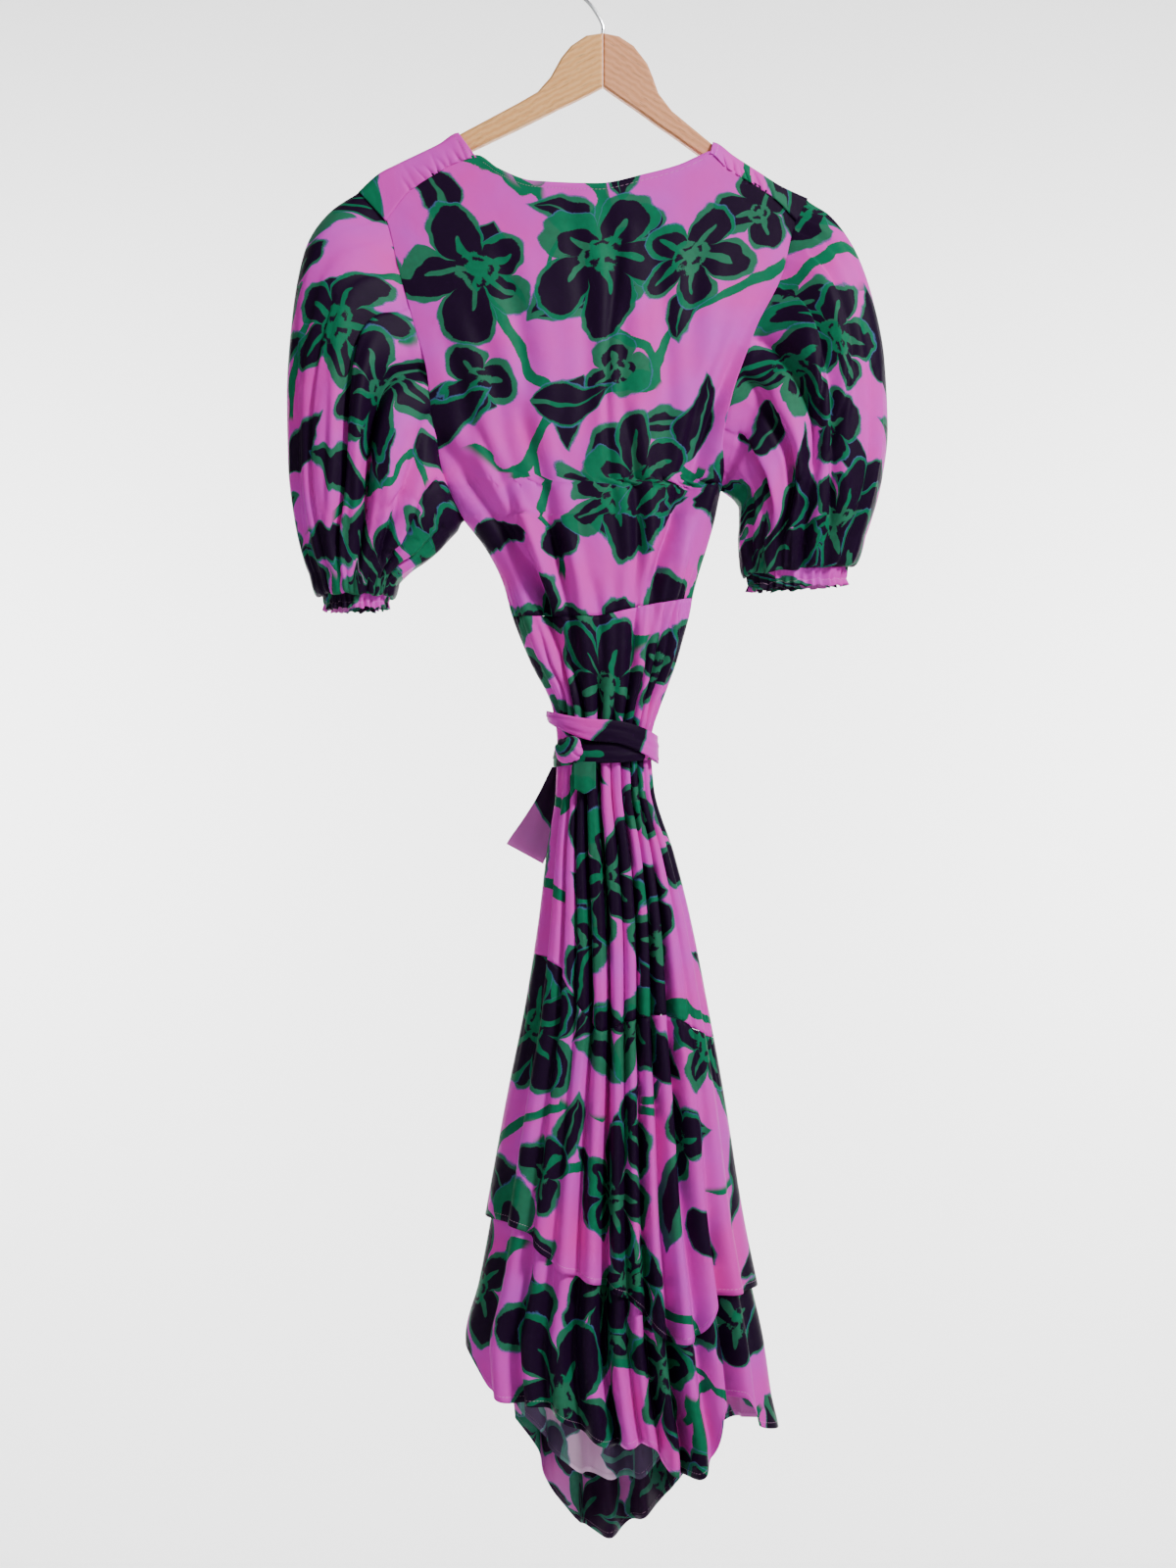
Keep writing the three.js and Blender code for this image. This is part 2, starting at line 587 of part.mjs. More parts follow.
const armholeLeft = curve(ARMHOLE_LEFT, 'z', 'x');
const armholeRight = curve(ARMHOLE_RIGHT, 'z', 'x');
const crest = curve(CREST, 'x', 'z');
const offArm = (drop) => {
  const i = OVER_ARM.findIndex((row) => row.drop >= drop);
  if (i < 0) return 0;
  if (i === 0) return OVER_ARM[0].off;
  const [above, below] = [OVER_ARM[i - 1], OVER_ARM[i]];
  return lerp(above.off, below.off, (drop - above.drop) / (below.drop - above.drop));
};
const backTop = curve(BACK_TOP, 'x', 'z');
const UNDERARM_LEFT = ARMHOLE_LEFT[ARMHOLE_LEFT.length - 1].z;
const UNDERARM_RIGHT = ARMHOLE_RIGHT[ARMHOLE_RIGHT.length - 1].z;
const SIDE_TURN = 0.004; // leaves the side seams a hair open

// Turn of the left and right border of a bodice panel: armhole above the underarm, then seam
const leftBorder = (z) => Math.max(z > UNDERARM_LEFT ? turnOfX(armholeLeft(z), z) : 0, SIDE_TURN);
const rightBorder = (z) => Math.min(z > UNDERARM_RIGHT ? turnOfX(armholeRight(z), z) : 1, 1 - SIDE_TURN);

// Cloth near the shoulder lies round the wooden arm instead of on the body's section
function overArm(point, side) {
  const below = Math.max(crest(point.x) - point.z, 0);
  const least = offArm(below);
  if (Math.abs(point.y) < least) point.setY(side * least);
  return point;
}

// Back bodice: neckline and shoulder seams down to the waist seam
function backBodice() {
  const waist = curve(WAIST_BACK, 'share', 'z');
  const [first, last] = [BACK_TOP[0], BACK_TOP[BACK_TOP.length - 1]];
  const columns = foldColumns(BACK_FOLDS, 0, 1, PLAIN_CUTS);
  const levels = [0, 0.03, 0.09, 0.17, 0.27, 0.37, 0.47, 0.57, 0.66, 0.75, 0.84, 0.92, 1];
  const grid = levels.map((level) => columns.map((column) => {
    const share = followFolds(BACK_FOLDS, column, last.z);
    const topX = lerp(first.x, last.x, shareOfAngle(share));
    const z = lerp(backTop(topX), heightOn(waist, BACK_FOLDS, column) + SEAM, level);
    const open = Math.min(z, first.z);
    const borders = [bodyX(leftBorder(open), open), bodyX(rightBorder(open), open)];
    const spread = bodyX(lerp(leftBorder(open), rightBorder(open), share), open);
    const settled = clamp(level * 3);
    const x = lerp(lerp(borders[0], borders[1], shareOfAngle(share)), spread, settled);
    return overArm(bodyPoint(1, turnOfX(x, z), z, 0, 1, share), 1);
  }));
  return wall(grid, WALL, { levelRows: (r, rows) => r === rows - 1 });
}

// One front of the bodice: over the shoulder from the back seam, down to the waist seam. The
// under wrap lies inside the outer one except at its own side seam.
function frontBodice(isLeft) {
  const border = isLeft ? leftBorder : rightBorder;
  const wrapEdge = curve(isLeft ? WRAP_EDGE_LEFT : WRAP_EDGE_RIGHT, 'z', 'x');
  const armhole = isLeft ? ARMHOLE_LEFT : ARMHOLE_RIGHT;
  const armholeX = isLeft ? armholeLeft : armholeRight;
  const waist = curve(WAIST_FRONT, 'share', 'z');
  const count = 14;
  const shares = Array.from({ length: count + 1 }, (_, i) => i / count);
  const neck = isLeft ? { crest: 133, seam: 115 } : { crest: -101, seam: -98 };
  const seamRow = shares.map((share) => {
    const x = lerp(armhole[1].x, neck.seam, share);
    const z = backTop(x) + SHOULDER_SEAM;
    return overArm(bodyPoint(1, turnOfX(x, z), z), 1);
  });
  const crestRow = shares.map((share) => {
    const x = lerp(armhole[0].x, neck.crest, share);
    return new THREE.Vector3(x, 0, crest(x));
  });
  const roundRow = (side, drop) => crestRow.map((point, i) => {
    const toSeam = side > 0 ? clamp(drop / (point.z - seamRow[i].z)) : 0;
    const neckX = lerp(neck.crest, neck.seam, toSeam);
    const x = lerp(armholeX(armhole[0].z - drop), neckX, shares[i]);
    return new THREE.Vector3(x, side * offArm(drop), point.z - drop);
  });
  const lastDrop = OVER_ARM[2].drop;
  const seamZ = (share) => {
    let z = waist(0.5);
    for (let pass = 0; pass < 3; pass += 1) {
      z = waist(shareOfAngle(lerp(border(z), turnOfX(wrapEdge(z), z), share)));
    }
    return z;
  };
  const levels = [0, 0.025, 0.07, 0.14, 0.23, 0.33, 0.43, 0.53, 0.62, 0.7, 0.78, 0.89, 1];
  const fieldRows = levels.map((level) => shares.map((share, i) => {
    const z = lerp(crestRow[i].z - 2 * lastDrop, seamZ(share) + SEAM, level);
    const spread = bodyX(lerp(border(z), turnOfX(wrapEdge(z), z), share), z);
    const straight = lerp(bodyX(border(z), z), wrapEdge(z), share);
    const x = lerp(straight, spread, clamp(level * 2.5));
    const turn = turnOfX(x, z);
    const sunk = isLeft ? WRAP_INSET * clamp((turn - 0.1) / 0.14) * clamp((-280 - z) / 60) : 0;
    return overArm(bodyPoint(-1, turn, z, sunk), -1);
  }));
  const drop = OVER_ARM[1].drop;
  const grid = [seamRow, roundRow(1, drop), crestRow, roundRow(-1, drop), roundRow(-1, lastDrop), ...fieldRows];
  const handed = isLeft ? grid.map((row) => [...row].reverse()) : grid;
  return wall(handed, WALL, { levelRows: (r, rows) => r === rows - 1 });
}

// A panel of the skirt between two heights, from one turn to another
function skirtPanel({ side, from, to, top, bottom, levels, cuts, inset = () => 0 }) {
  const folds = side > 0 ? BACK_FOLDS : FRONT_FOLDS;
  const columns = foldColumns(folds, from, to, cuts);
  const grid = levels.map((level) => columns.map((column) => {
    const start = heightOn(top, folds, column);
    const z = lerp(start, heightOn(bottom, folds, column), level);
    const turn = followFolds(folds, column, z);
    return bodyPoint(side, turn, z, inset(turn, start - z));
  }));
  return wall(grid, WALL, { levelRows: () => true });
}

const UPPER_LEVELS = [0, 0.1, 0.2, 0.29, 0.36, 0.43, 0.52, 0.64, 0.76, 0.88, 1];
const TIER_LEVELS = [0, 0.25, 0.5, 0.75, 1];
const LOWER_LEVELS = [0, 0.25, 0.5, 0.75, 1];

// The three panels of the skirt at one tier: back, outer front and under front
const PANELS = [
  { name: 'back', side: 1, from: SIDE_TURN, to: 1 - SIDE_TURN, under: false, cuts: ROUND_CUTS },
  { name: 'front_right', side: -1, from: 0.235, to: 1 - SIDE_TURN, under: false, cuts: ROUND_CUTS },
  { name: 'front_left', side: -1, from: SIDE_TURN, to: 0.62, under: true, cuts: PLAIN_CUTS },
];

// The under front keeps clear of everything of the outer front, but meets its own side seam
const underInset = (turn, amount) => amount * clamp((turn - 0.05) / 0.16);

const lines = {
  back: { waist: WAIST_BACK, knee: KNEE_BACK, upper: UPPER_HEM_BACK, lower: LOWER_HEM_BACK },
  front: { waist: WAIST_FRONT, knee: KNEE_FRONT, upper: UPPER_HEM_FRONT, lower: LOWER_HEM_FRONT },
};

function linesOf(side) {
  const rows = side > 0 ? lines.back : lines.front;
  return Object.fromEntries(Object.entries(rows).map(([name, table]) => (
    [name, curve(table, 'share', 'z')])));
}

// Upper skirt from the waist seam, through the belt, to the knee seam
function upperSkirt(panel) {
  const { waist, knee } = linesOf(panel.side);
  return skirtPanel({
    ...panel,
    top: waist,
    bottom: (share) => knee(share) + KNEE_SEAM,
    levels: UPPER_LEVELS,
    inset: (turn) => (panel.under ? underInset(turn, WRAP_INSET) : 0),
  });
}

// Upper flounce from the knee seam to its free hem
function upperFlounce(panel) {
  const { knee, upper } = linesOf(panel.side);
  return skirtPanel({
    ...panel,
    top: knee,
    bottom: upper,
    levels: TIER_LEVELS,
    inset: (turn) => (panel.under ? underInset(turn, WRAP_INSET + 2 * TIER_INSET) : 0),
  });
}

// Lower flounce, sewn inside the upper one a little above its hem and falling to its own hem
function lowerFlounce(panel) {
  const { upper, lower } = linesOf(panel.side);
  return skirtPanel({
    ...panel,
    top: (share) => upper(share) + TIER_TUCK,
    bottom: panel.under ? curve(LOWER_HEM_UNDER, 'share', 'z') : lower,
    levels: LOWER_LEVELS,
    inset: (turn, fallen) => {
      const base = panel.under ? underInset(turn, WRAP_INSET + 2 * TIER_INSET) : 0;
      return base + lerp(TIER_START, TIER_INSET, clamp(fallen / TIER_TUCK));
    },
  });
}

// Loop of the armhole seam: share 0 at the shoulder's crest, 0.5 at the underarm, over the back
function armholePoint(isLeft, share) {
  const armhole = isLeft ? armholeLeft : armholeRight;
  const rows = isLeft ? ARMHOLE_LEFT : ARMHOLE_RIGHT;
  const side = share < 0.5 ? 1 : -1;
  const z = lerp(rows[0].z, rows[rows.length - 1].z, (1 - Math.cos(2 * Math.PI * share)) / 2);
  const x = armhole(z);
  return overArm(bodyPoint(side, turnOfX(x, z), z, 0, 0), side);
}

// Puffed sleeve: rings fan from the armhole round the underarm to the cuff
function sleeveGrid(isLeft) {
  const rings = isLeft ? SLEEVE_LEFT : SLEEVE_RIGHT;
  const outward = isLeft ? 1 : -1;
  const seam = isLeft ? ARMHOLE_SEAM.left : ARMHOLE_SEAM.right;
  const folds = SLEEVE_FOLDS;
  const angles = [];
  folds.forEach((fold, i) => {
    const next = folds[(i + 1) % folds.length].angle + (i === folds.length - 1 ? 360 : 0);
    angles.push(fold.angle, lerp(fold.angle, next, 0.5));
  });
  const trough = (angle, level) => {
    let deepest = 0;
    folds.forEach((fold, i) => {
      const before = folds[(i + folds.length - 1) % folds.length].angle - (i === 0 ? 360 : 0);
      const after = folds[(i + 1) % folds.length].angle + (i === folds.length - 1 ? 360 : 0);
      const near = [angle, angle - 360, angle + 360].find((a) => (
        a > (before + fold.angle) / 2 && a < (after + fold.angle) / 2));
      if (near === undefined) return;
      const half = near < fold.angle ? (fold.angle - before) / 2 : (after - fold.angle) / 2;
      const deep = level < 0.5
        ? lerp(fold.head, fold.middle, level * 2)
        : lerp(fold.middle, fold.cuff, level * 2 - 1);
      deepest = deep * Math.cos((Math.PI / 2) * Math.abs((near - fold.angle) / half)) ** 2;
    });
    return deepest;
  };
  const head = angles.map((angle) => {
    const point = armholePoint(isLeft, angle / 360);
    return point.add(new THREE.Vector3(outward * seam, 0, angle < 90 || angle > 270 ? 0 : -seam));
  });
  const body = rings.map((ring, k) => angles.map((angle) => {
    const radians = THREE.MathUtils.degToRad(angle);
    const centre = new THREE.Vector3((ring.outX + ring.inX) / 2, 0, (ring.outZ + ring.inZ) / 2);
    const reach = new THREE.Vector3((ring.outX - ring.inX) / 2, 0, (ring.outZ - ring.inZ) / 2);
    const level = (k + 1) / rings.length;
    const sink = trough(angle, level) / reach.length();
    const round = Math.sign(Math.sin(radians)) * Math.abs(Math.sin(radians)) ** 0.8;
    const sinkDeep = trough(angle, level) / ring.deep;
    return centre.clone().addScaledVector(reach, Math.cos(radians) * (1 - sink))
      .add(new THREE.Vector3(0, ring.deep * round * (1 - sinkDeep), 0));
  }));
  return [head, ...body];
}

// Elastic cuff: a short crinkled band below the sleeve's last ring
function cuffGrid(isLeft) {
  const rings = isLeft ? SLEEVE_LEFT : SLEEVE_RIGHT;
  const last = rings[rings.length - 1];
  const count = CUFF_CRINKLES * 4;
  return CUFF_ROWS.map((row) => Array.from({ length: count }, (_, i) => {
    const radians = (2 * Math.PI * i) / count;
    const wave = 1 + (row.crinkle / last.deep) * Math.cos(CUFF_CRINKLES * radians);
    const x = (last.outX + last.inX) / 2
      + ((last.outX - last.inX) / 2) * Math.cos(radians) * row.size * wave;
    const y = last.deep * Math.sin(radians) * row.size * wave;
    const tilt = (last.outZ - last.inZ) / 2;
    const z = (last.outZ + last.inZ) / 2 + tilt * Math.cos(radians) - SEAM - row.drop;
    return new THREE.Vector3(x, y, z);
  }));
}

// One pass of the belt: a flat strip round the gathered waist, over so many layers of itself
function beltPass(quarters, layer) {
  const count = 40;
  const out = BELT_CLEAR + BELT_WALL + layer * (BELT_WALL + BELT_BELLY + 2 * SEAM);
  const rows = [0.5, 0.17, -0.17, -0.5].map((share) => Array.from({ length: count }, (_, i) => {
    const quarter = (4 * i) / count;
    const [here, next] = [quarters[Math.floor(quarter)], quarters[(Math.floor(quarter) + 1) % 4]];
    const eased = THREE.MathUtils.smoothstep(quarter % 1, 0, 1);
    const z = lerp(here.z, next.z, eased) + share * lerp(here.wide, next.wide, eased);
    const side = quarter < 2 ? 1 : -1;
    const turn = quarter < 2 ? quarter / 2 : 2 - quarter / 2;
    return bodyPoint(side, turn, z, -out - BELT_BELLY * Math.cos(Math.PI * share), 0);
  }));
  return wall(rows, BELT_WALL, { ring: true, levelRows: () => true });
}

// The knot: a rounded lump of wound cloth on the under pass, at the wearer's left of the back
function beltKnot() {
  const geometry = new THREE.SphereGeometry(0.5, 18, 10);
  geometry.scale(KNOT.wide, KNOT.deep, KNOT.high);
  const out = BELT_CLEAR + BELT_WALL + BELT_BELLY;
  const seat = bodyPoint(1, turnOfX(KNOT.x, KNOT.z), KNOT.z, -out - KNOT.clear - KNOT.deep / 2, 0);
  const middle = bodyPoint(1, turnOfX(KNOT.x, KNOT.z), KNOT.z, 0, 0);
  geometry.rotateZ(-Math.atan2(seat.x - middle.x, seat.y - middle.y));
  geometry.translate(seat.x, seat.y, seat.z);
  return geometry;
}

// The short tail: a pointed strip that hangs from the knot over the under pass
function beltTail() {
  const out = BELT_CLEAR + BELT_WALL + BELT_BELLY + TAIL.clear + WALL;
  const rows = [0, 0.3, 0.6, 1].map((level) => [-0.5, -0.25, 0, 0.25, 0.5].map((share) => {
    const tip = level === 1 ? TAIL.point * (1 - 2 * Math.abs(share)) : 0;
    const z = lerp(TAIL.top, TAIL.bottom, level) - tip;
    return bodyPoint(1, turnOfX(TAIL.x - share * TAIL.wide, z), z, -out, 0);
  }));
  return wall(rows, WALL, { levelRows: () => true });
}

// The bow's loop at the wearer's left, hanging behind the edge of the skirt
function beltLoop() {
  return wall(LOOP.map((row) => [0, 0.33, 0.67, 1].map((share) => new THREE.Vector3(
    lerp(row.outX, row.inX, share), row.y, lerp(row.outZ, row.inZ, share)))), WALL);
}

// A wooden arm: the outline between the two edges of its table, as deep as the wood
function hangerArm(rows) {
  const away = rows[1].x > 0 ? 1 : -1;
  const shape = new THREE.Shape();
  const mitre = away * (SEAM / 2);
  shape.moveTo(mitre, rows[0].bottom);
  shape.lineTo(mitre, rows[0].top);
  rows.slice(1).forEach((row) => shape.lineTo(row.x, row.top));
  [...rows].reverse().slice(0, -1).forEach((row) => shape.lineTo(row.x, row.bottom));
  const geometry = new THREE.ExtrudeGeometry(shape, {
    depth: HANGER_DEPTH - 2 * ARM_CHAMFER,
    bevelEnabled: true,
    bevelThickness: ARM_CHAMFER,
    bevelSize: ARM_CHAMFER,
    bevelOffset: -ARM_CHAMFER,
    bevelSegments: 1,
  });
  geometry.rotateX(Math.PI / 2);
  geometry.translate(0, HANGER_DEPTH / 2 - ARM_CHAMFER, 0);
  return geometry;
}

// The steel hook: a stem out of the wood and an open ring over the rail
function hook() {
  const ring = HOOK_RADIUS + HOOK_WIRE / 2;
  const foot = ARM_LEFT[0].top + SEAM;
  const points = [new THREE.Vector3(0, 0, foot), new THREE.Vector3(0, 0, foot + 8)];
  for (let degrees = -55; degrees <= 190; degrees += 17.5) {
    const radians = THREE.MathUtils.degToRad(degrees);
    points.push(new THREE.Vector3(ring * Math.cos(radians), 0, -HOOK_RADIUS + ring * Math.sin(radians)));
  }
  const path = new THREE.CatmullRomCurve3(points, false, 'centripetal');
  const section = new THREE.Shape().absarc(0, 0, HOOK_WIRE / 2, 0, 2 * Math.PI);
  return new THREE.ExtrudeGeometry(section, { extrudePath: path, steps: 28, curveSegments: 4 });
}

const dress = new THREE.Group();

function add(name, geometry, material) {
  const mesh = new THREE.Mesh(geometry, material.clone());
  mesh.name = name;
  dress.add(mesh);
  return mesh;
}

const silk = new THREE.MeshStandardMaterial({ color: 0xd168c0, roughness: 0.45, metalness: 0 });
const belted = new THREE.MeshStandardMaterial({ color: 0xd877c8, roughness: 0.42, metalness: 0 });
const wood = new THREE.MeshStandardMaterial({ color: 0xd9a878, roughness: 0.5, metalness: 0 });
const steel = new THREE.MeshStandardMaterial({ color: 0xc9cacc, roughness: 0.25, metalness: 1 });

add('hanger_arm_left', hangerArm(ARM_LEFT), wood);
add('hanger_arm_right', hangerArm(ARM_RIGHT), wood);
add('hanger_hook', hook(), steel);

add('bodice_back', backBodice(), silk);
add('bodice_front_right', frontBodice(false), silk);
add('bodice_front_left', frontBodice(true), silk);
add('sleeve_left', wall(sleeveGrid(true), WALL, { ring: true }), silk);
add('sleeve_right', wall(sleeveGrid(false), WALL, { ring: true }), silk);
add('cuff_left', wall(cuffGrid(true), WALL, { ring: true }), silk);
add('cuff_right', wall(cuffGrid(false), WALL, { ring: true }), silk);
for (const panel of PANELS) {
  add(`skirt_${panel.name}`, upperSkirt(panel), silk);
  add(`flounce_upper_${panel.name}`, upperFlounce(panel), silk);
  add(`flounce_lower_${panel.name}`, lowerFlounce(panel), silk);
}
add('belt_under', beltPass(BELT_UNDER, 0), belted);
add('belt_over', beltPass(BELT_OVER, 1), belted);
add('belt_knot', beltKnot(), belted);
add('belt_tail', beltTail(), belted);
add('belt_loop', beltLoop(), belted);

export default dress;
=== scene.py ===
# %% [markdown]
# A printed silk wrap dress, seen from the back on its wooden hanger. The real one is cut flat in
# pieces, gathered into its seams and left to hang. A cloth simulation could drape it, but the
# folds would fall elsewhere at every change. So each cut piece is a thin shell worked out from
# the same section tables as its solid, with finer folds given one by one or from a seed.

# %% Load the frame
import math
import bmesh
import bpy
import numpy as np
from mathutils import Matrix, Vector


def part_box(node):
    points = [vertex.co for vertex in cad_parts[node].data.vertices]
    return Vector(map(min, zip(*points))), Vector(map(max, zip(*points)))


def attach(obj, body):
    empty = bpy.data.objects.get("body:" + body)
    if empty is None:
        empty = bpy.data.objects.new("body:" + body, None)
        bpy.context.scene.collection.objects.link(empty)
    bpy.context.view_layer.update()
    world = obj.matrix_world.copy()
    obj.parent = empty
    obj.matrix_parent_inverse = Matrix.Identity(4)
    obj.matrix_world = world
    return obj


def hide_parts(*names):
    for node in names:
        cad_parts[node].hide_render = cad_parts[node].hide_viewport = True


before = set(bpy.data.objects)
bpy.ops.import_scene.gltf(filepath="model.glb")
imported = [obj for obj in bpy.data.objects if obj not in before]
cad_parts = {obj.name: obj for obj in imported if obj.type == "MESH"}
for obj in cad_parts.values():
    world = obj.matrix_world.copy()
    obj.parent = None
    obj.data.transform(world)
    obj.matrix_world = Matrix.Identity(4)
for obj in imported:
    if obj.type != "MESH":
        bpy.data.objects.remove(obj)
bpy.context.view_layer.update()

# %% [markdown]
# The photograph was taken from about 2.4 m behind the dress, level with the belt. The camera
# comes first, because every fold is judged through it.

# %% Camera
CAMERA_PLACE = (0.0135, 2.4, -0.75)
CAMERA_VIEW_DEGREES = 33.4

camera_data = bpy.data.cameras.new("camera")
camera_data.sensor_fit = "VERTICAL"
camera_data.angle = math.radians(CAMERA_VIEW_DEGREES)
camera_data.clip_end = 40
camera = bpy.data.objects.new("camera", camera_data)
bpy.context.scene.collection.objects.link(camera)
camera.location = CAMERA_PLACE
camera.rotation_euler = (math.radians(90), 0, math.radians(180))
bpy.context.scene.camera = camera
print("camera", CAMERA_PLACE[1], "m behind the dress, view", CAMERA_VIEW_DEGREES, "degrees tall")

# %% [markdown]
# A hanging dress is a tube that widens and narrows. It could be sculpted, but a table of its
# reach and depth at each height is easier to check against the photograph. From here up to the
# shell maker, lengths are in millimetres.

# %% Reach and depth of the dress
BODY = np.array([  # z, left, right, back, front
    (-120, 235, -205, 12.5, 10.5), (-235, 235, -205, 15, 14), (-290, 218, -186, 22, 24),
    (-350, 197, -160, 30, 33), (-400, 181, -138, 34, 38), (-440, 167, -121, 36, 40),
    (-476, 150, -107, 37, 41), (-506, 128, -102, 38, 41), (-535, 106, -94, 38, 41),
    (-565, 91, -85, 38, 41), (-597, 82, -77, 38, 41), (-637, 66, -67, 38, 40),
    (-680, 45.5, -51, 37, 38), (-712, 41, -43.5, 36, 37), (-752, 42, -46, 37, 38),
    (-815, 51, -65, 41, 41), (-870, 57.5, -79, 46, 44), (-950, 70, -95, 55, 52),
    (-1035, 87, -110.5, 64, 60), (-1144, 107, -128, 75, 70), (-1207, 119, -141, 80, 75),
    (-1256, 131, -152, 84, 80), (-1310, 127, -160, 87, 84), (-1345, 124, -167, 88, 87),
    (-1470, 118, -170, 88, 90)], float)
BACK, FRONT = 1, -1
LEFT, RIGHT = 1, -1
WALL = 1.2
SEAM = 0.3
WAIST_Z = -712
print("body", len(BODY), "heights from", BODY[0, 0], "to", BODY[-1, 0])

# %% [markdown]
# The cloth runs smoothly from row to row and never bulges past one. A straight line between rows
# would show as a crease, and an ordinary spline overshoots, so the curve's slope at each row is
# the harmonic mean of the steps beside it.

# %% Smooth line through a table
def line(xs, ys):
    xs, ys = np.asarray(xs, float), np.asarray(ys, float)
    order = np.argsort(xs)
    xs, ys = xs[order], ys[order]
    rise = np.diff(ys, axis=0) / np.diff(xs).reshape(-1, *([1] * (ys.ndim - 1)))
    slope = np.zeros_like(ys)
    slope[0], slope[-1] = rise[0], rise[-1]
    a, b = rise[:-1], rise[1:]
    total = np.where(a * b > 0, a + b, 1)
    slope[1:-1] = np.where(a * b > 0, 2 * a * b / total, 0)

    def at(value):
        x = np.clip(np.asarray(value, float), xs[0], xs[-1])
        i = np.clip(np.searchsorted(xs, x, side="right") - 1, 0, len(xs) - 2)
        span = xs[i + 1] - xs[i]
        u = (x - xs[i]) / span
        if ys.ndim > 1:
            span = span.reshape(span.shape + (1,) * (ys.ndim - 1))
            u = u.reshape(u.shape + (1,) * (ys.ndim - 1))
        start = ys[i] * (1 + 2 * u) * (1 - u) ** 2 + slope[i] * span * u * (1 - u) ** 2
        return start + ys[i + 1] * u * u * (3 - 2 * u) + slope[i + 1] * span * u * u * (u - 1)
    return at


def mix(a, b, u):
    return a + (b - a) * u


def unit(u):
    return np.clip(u, 0, 1)


body_left, body_right, body_back, body_front = (line(BODY[:, 0], BODY[:, k]) for k in (1, 2, 3, 4))
print("width at the belt", float(body_left(WAIST_Z) - body_right(WAIST_Z)))

# %% [markdown]
# A place on the dress is a side, a turn round that side and a height. The turn goes from 0 at the
# wearer's left to 1 at the right, so one rule serves the wide hem and the narrow waist.

# %% Places round the dress
def turn_of_share(share):
    return np.arccos(1 - 2 * unit(share)) / np.pi


def share_of_turn(turn):
    return (1 - np.cos(np.pi * turn)) / 2


def middle_and_half(z):
    return (body_left(z) + body_right(z)) / 2, (body_left(z) - body_right(z)) / 2


def body_x(turn, z):
    centre, half = middle_and_half(z)
    return centre + half * np.cos(np.pi * turn)


def turn_of_x(x, z):
    centre, half = middle_and_half(z)
    return np.arccos(np.clip((x - centre) / half, -1, 1)) / np.pi


print("half way round at the hem is x", round(float(body_x(0.5, BODY[-1, 0])), 1))

# %% [markdown]
# The deep folds gather at the belt, where the cloth is drawn together, and open out to the hem.
# They are listed one by one, since the eye knows them from the photograph, and every
# tier reads the same folds, so a fold runs on across a seam.

# %% Folds from the belt to the hem
# Each fold: share of the width at belt, knee and hem; depth at chest, seam, waist, knee and hem
BACK_FOLDS = np.array([
    (0.04, 0.07, 0.06, 0, 1, 3.5, 4, 6), (0.11, 0.18, 0.16, 0, 1.5, 5, 4, 11),
    (0.18, 0.27, 0.26, 0, 2, 5, 3, 8), (0.26, 0.36, 0.36, 0.3, 1.5, 6, 8, 9),
    (0.43, 0.46, 0.47, 0.5, 1, 7, 11, 16), (0.58, 0.54, 0.55, 0.8, 2, 3, 5, 9),
    (0.71, 0.61, 0.61, 0.3, 2, 6, 8, 12), (0.8, 0.69, 0.69, 0.3, 2.5, 5, 7, 18),
    (0.87, 0.79, 0.78, 0, 2.5, 5, 12, 9), (0.93, 0.9, 0.875, 0, 2.5, 4, 2, 18),
    (0.975, 0.97, 0.96, 0, 1.5, 3, 1.5, 5)], float)
FRONT_FOLDS = np.array([
    (0.05, 0.06, 0.07, 0, 2, 4, 5, 8), (0.14, 0.18, 0.17, 0.5, 2.5, 5, 7, 13),
    (0.27, 0.3, 0.3, 1, 3, 5.5, 9, 17), (0.4, 0.42, 0.43, 1, 3, 5.5, 7, 13),
    (0.54, 0.55, 0.56, 1, 3, 5.5, 10, 19), (0.68, 0.68, 0.68, 1, 3, 5.5, 7, 14),
    (0.81, 0.8, 0.8, 0.5, 2.5, 5, 6, 15), (0.93, 0.92, 0.92, 0, 2, 4, 3, 7)], float)
FOLD_Z = {"chest": -400, "seam": -590, "waist": WAIST_Z, "knee": -970, "hem": -1330}
FOLD_START = 150  # above the chest
SKIRT_DEEPER = 1.6
DEEPER_FROM, DEEPER_OVER = -560, 120
SOFT_FOLD, SHARP_FOLD = 2.6, 6.0
SHARPEST_Z, SHARP_REACH = -830, 260


def fold_set(rows):
    stops = [FOLD_Z["chest"] + FOLD_START, *FOLD_Z.values()]
    return [{"belt": r[0], "knee": r[1], "hem": r[2], "deep": line(stops, [0, *r[3:]])} for r in rows]


FOLDS = {BACK: fold_set(BACK_FOLDS), FRONT: fold_set(FRONT_FOLDS)}


def folds_at(side, z):
    to_knee = unit((FOLD_Z["waist"] - z) / (FOLD_Z["waist"] - FOLD_Z["knee"]))
    to_hem = unit((FOLD_Z["knee"] - z) / (FOLD_Z["knee"] - FOLD_Z["hem"]))
    deeper = mix(1, SKIRT_DEEPER, unit((DEEPER_FROM - z) / DEEPER_OVER))
    turns, deeps = [], []
    for f in FOLDS[side]:
        above, below = mix(f["belt"], f["knee"], to_knee), mix(f["knee"], f["hem"], to_hem)
        turns.append(turn_of_share(np.where(z > FOLD_Z["knee"], above, below)))
        deeps.append(f["deep"](z) * deeper)
    return np.array(turns), np.array(deeps)


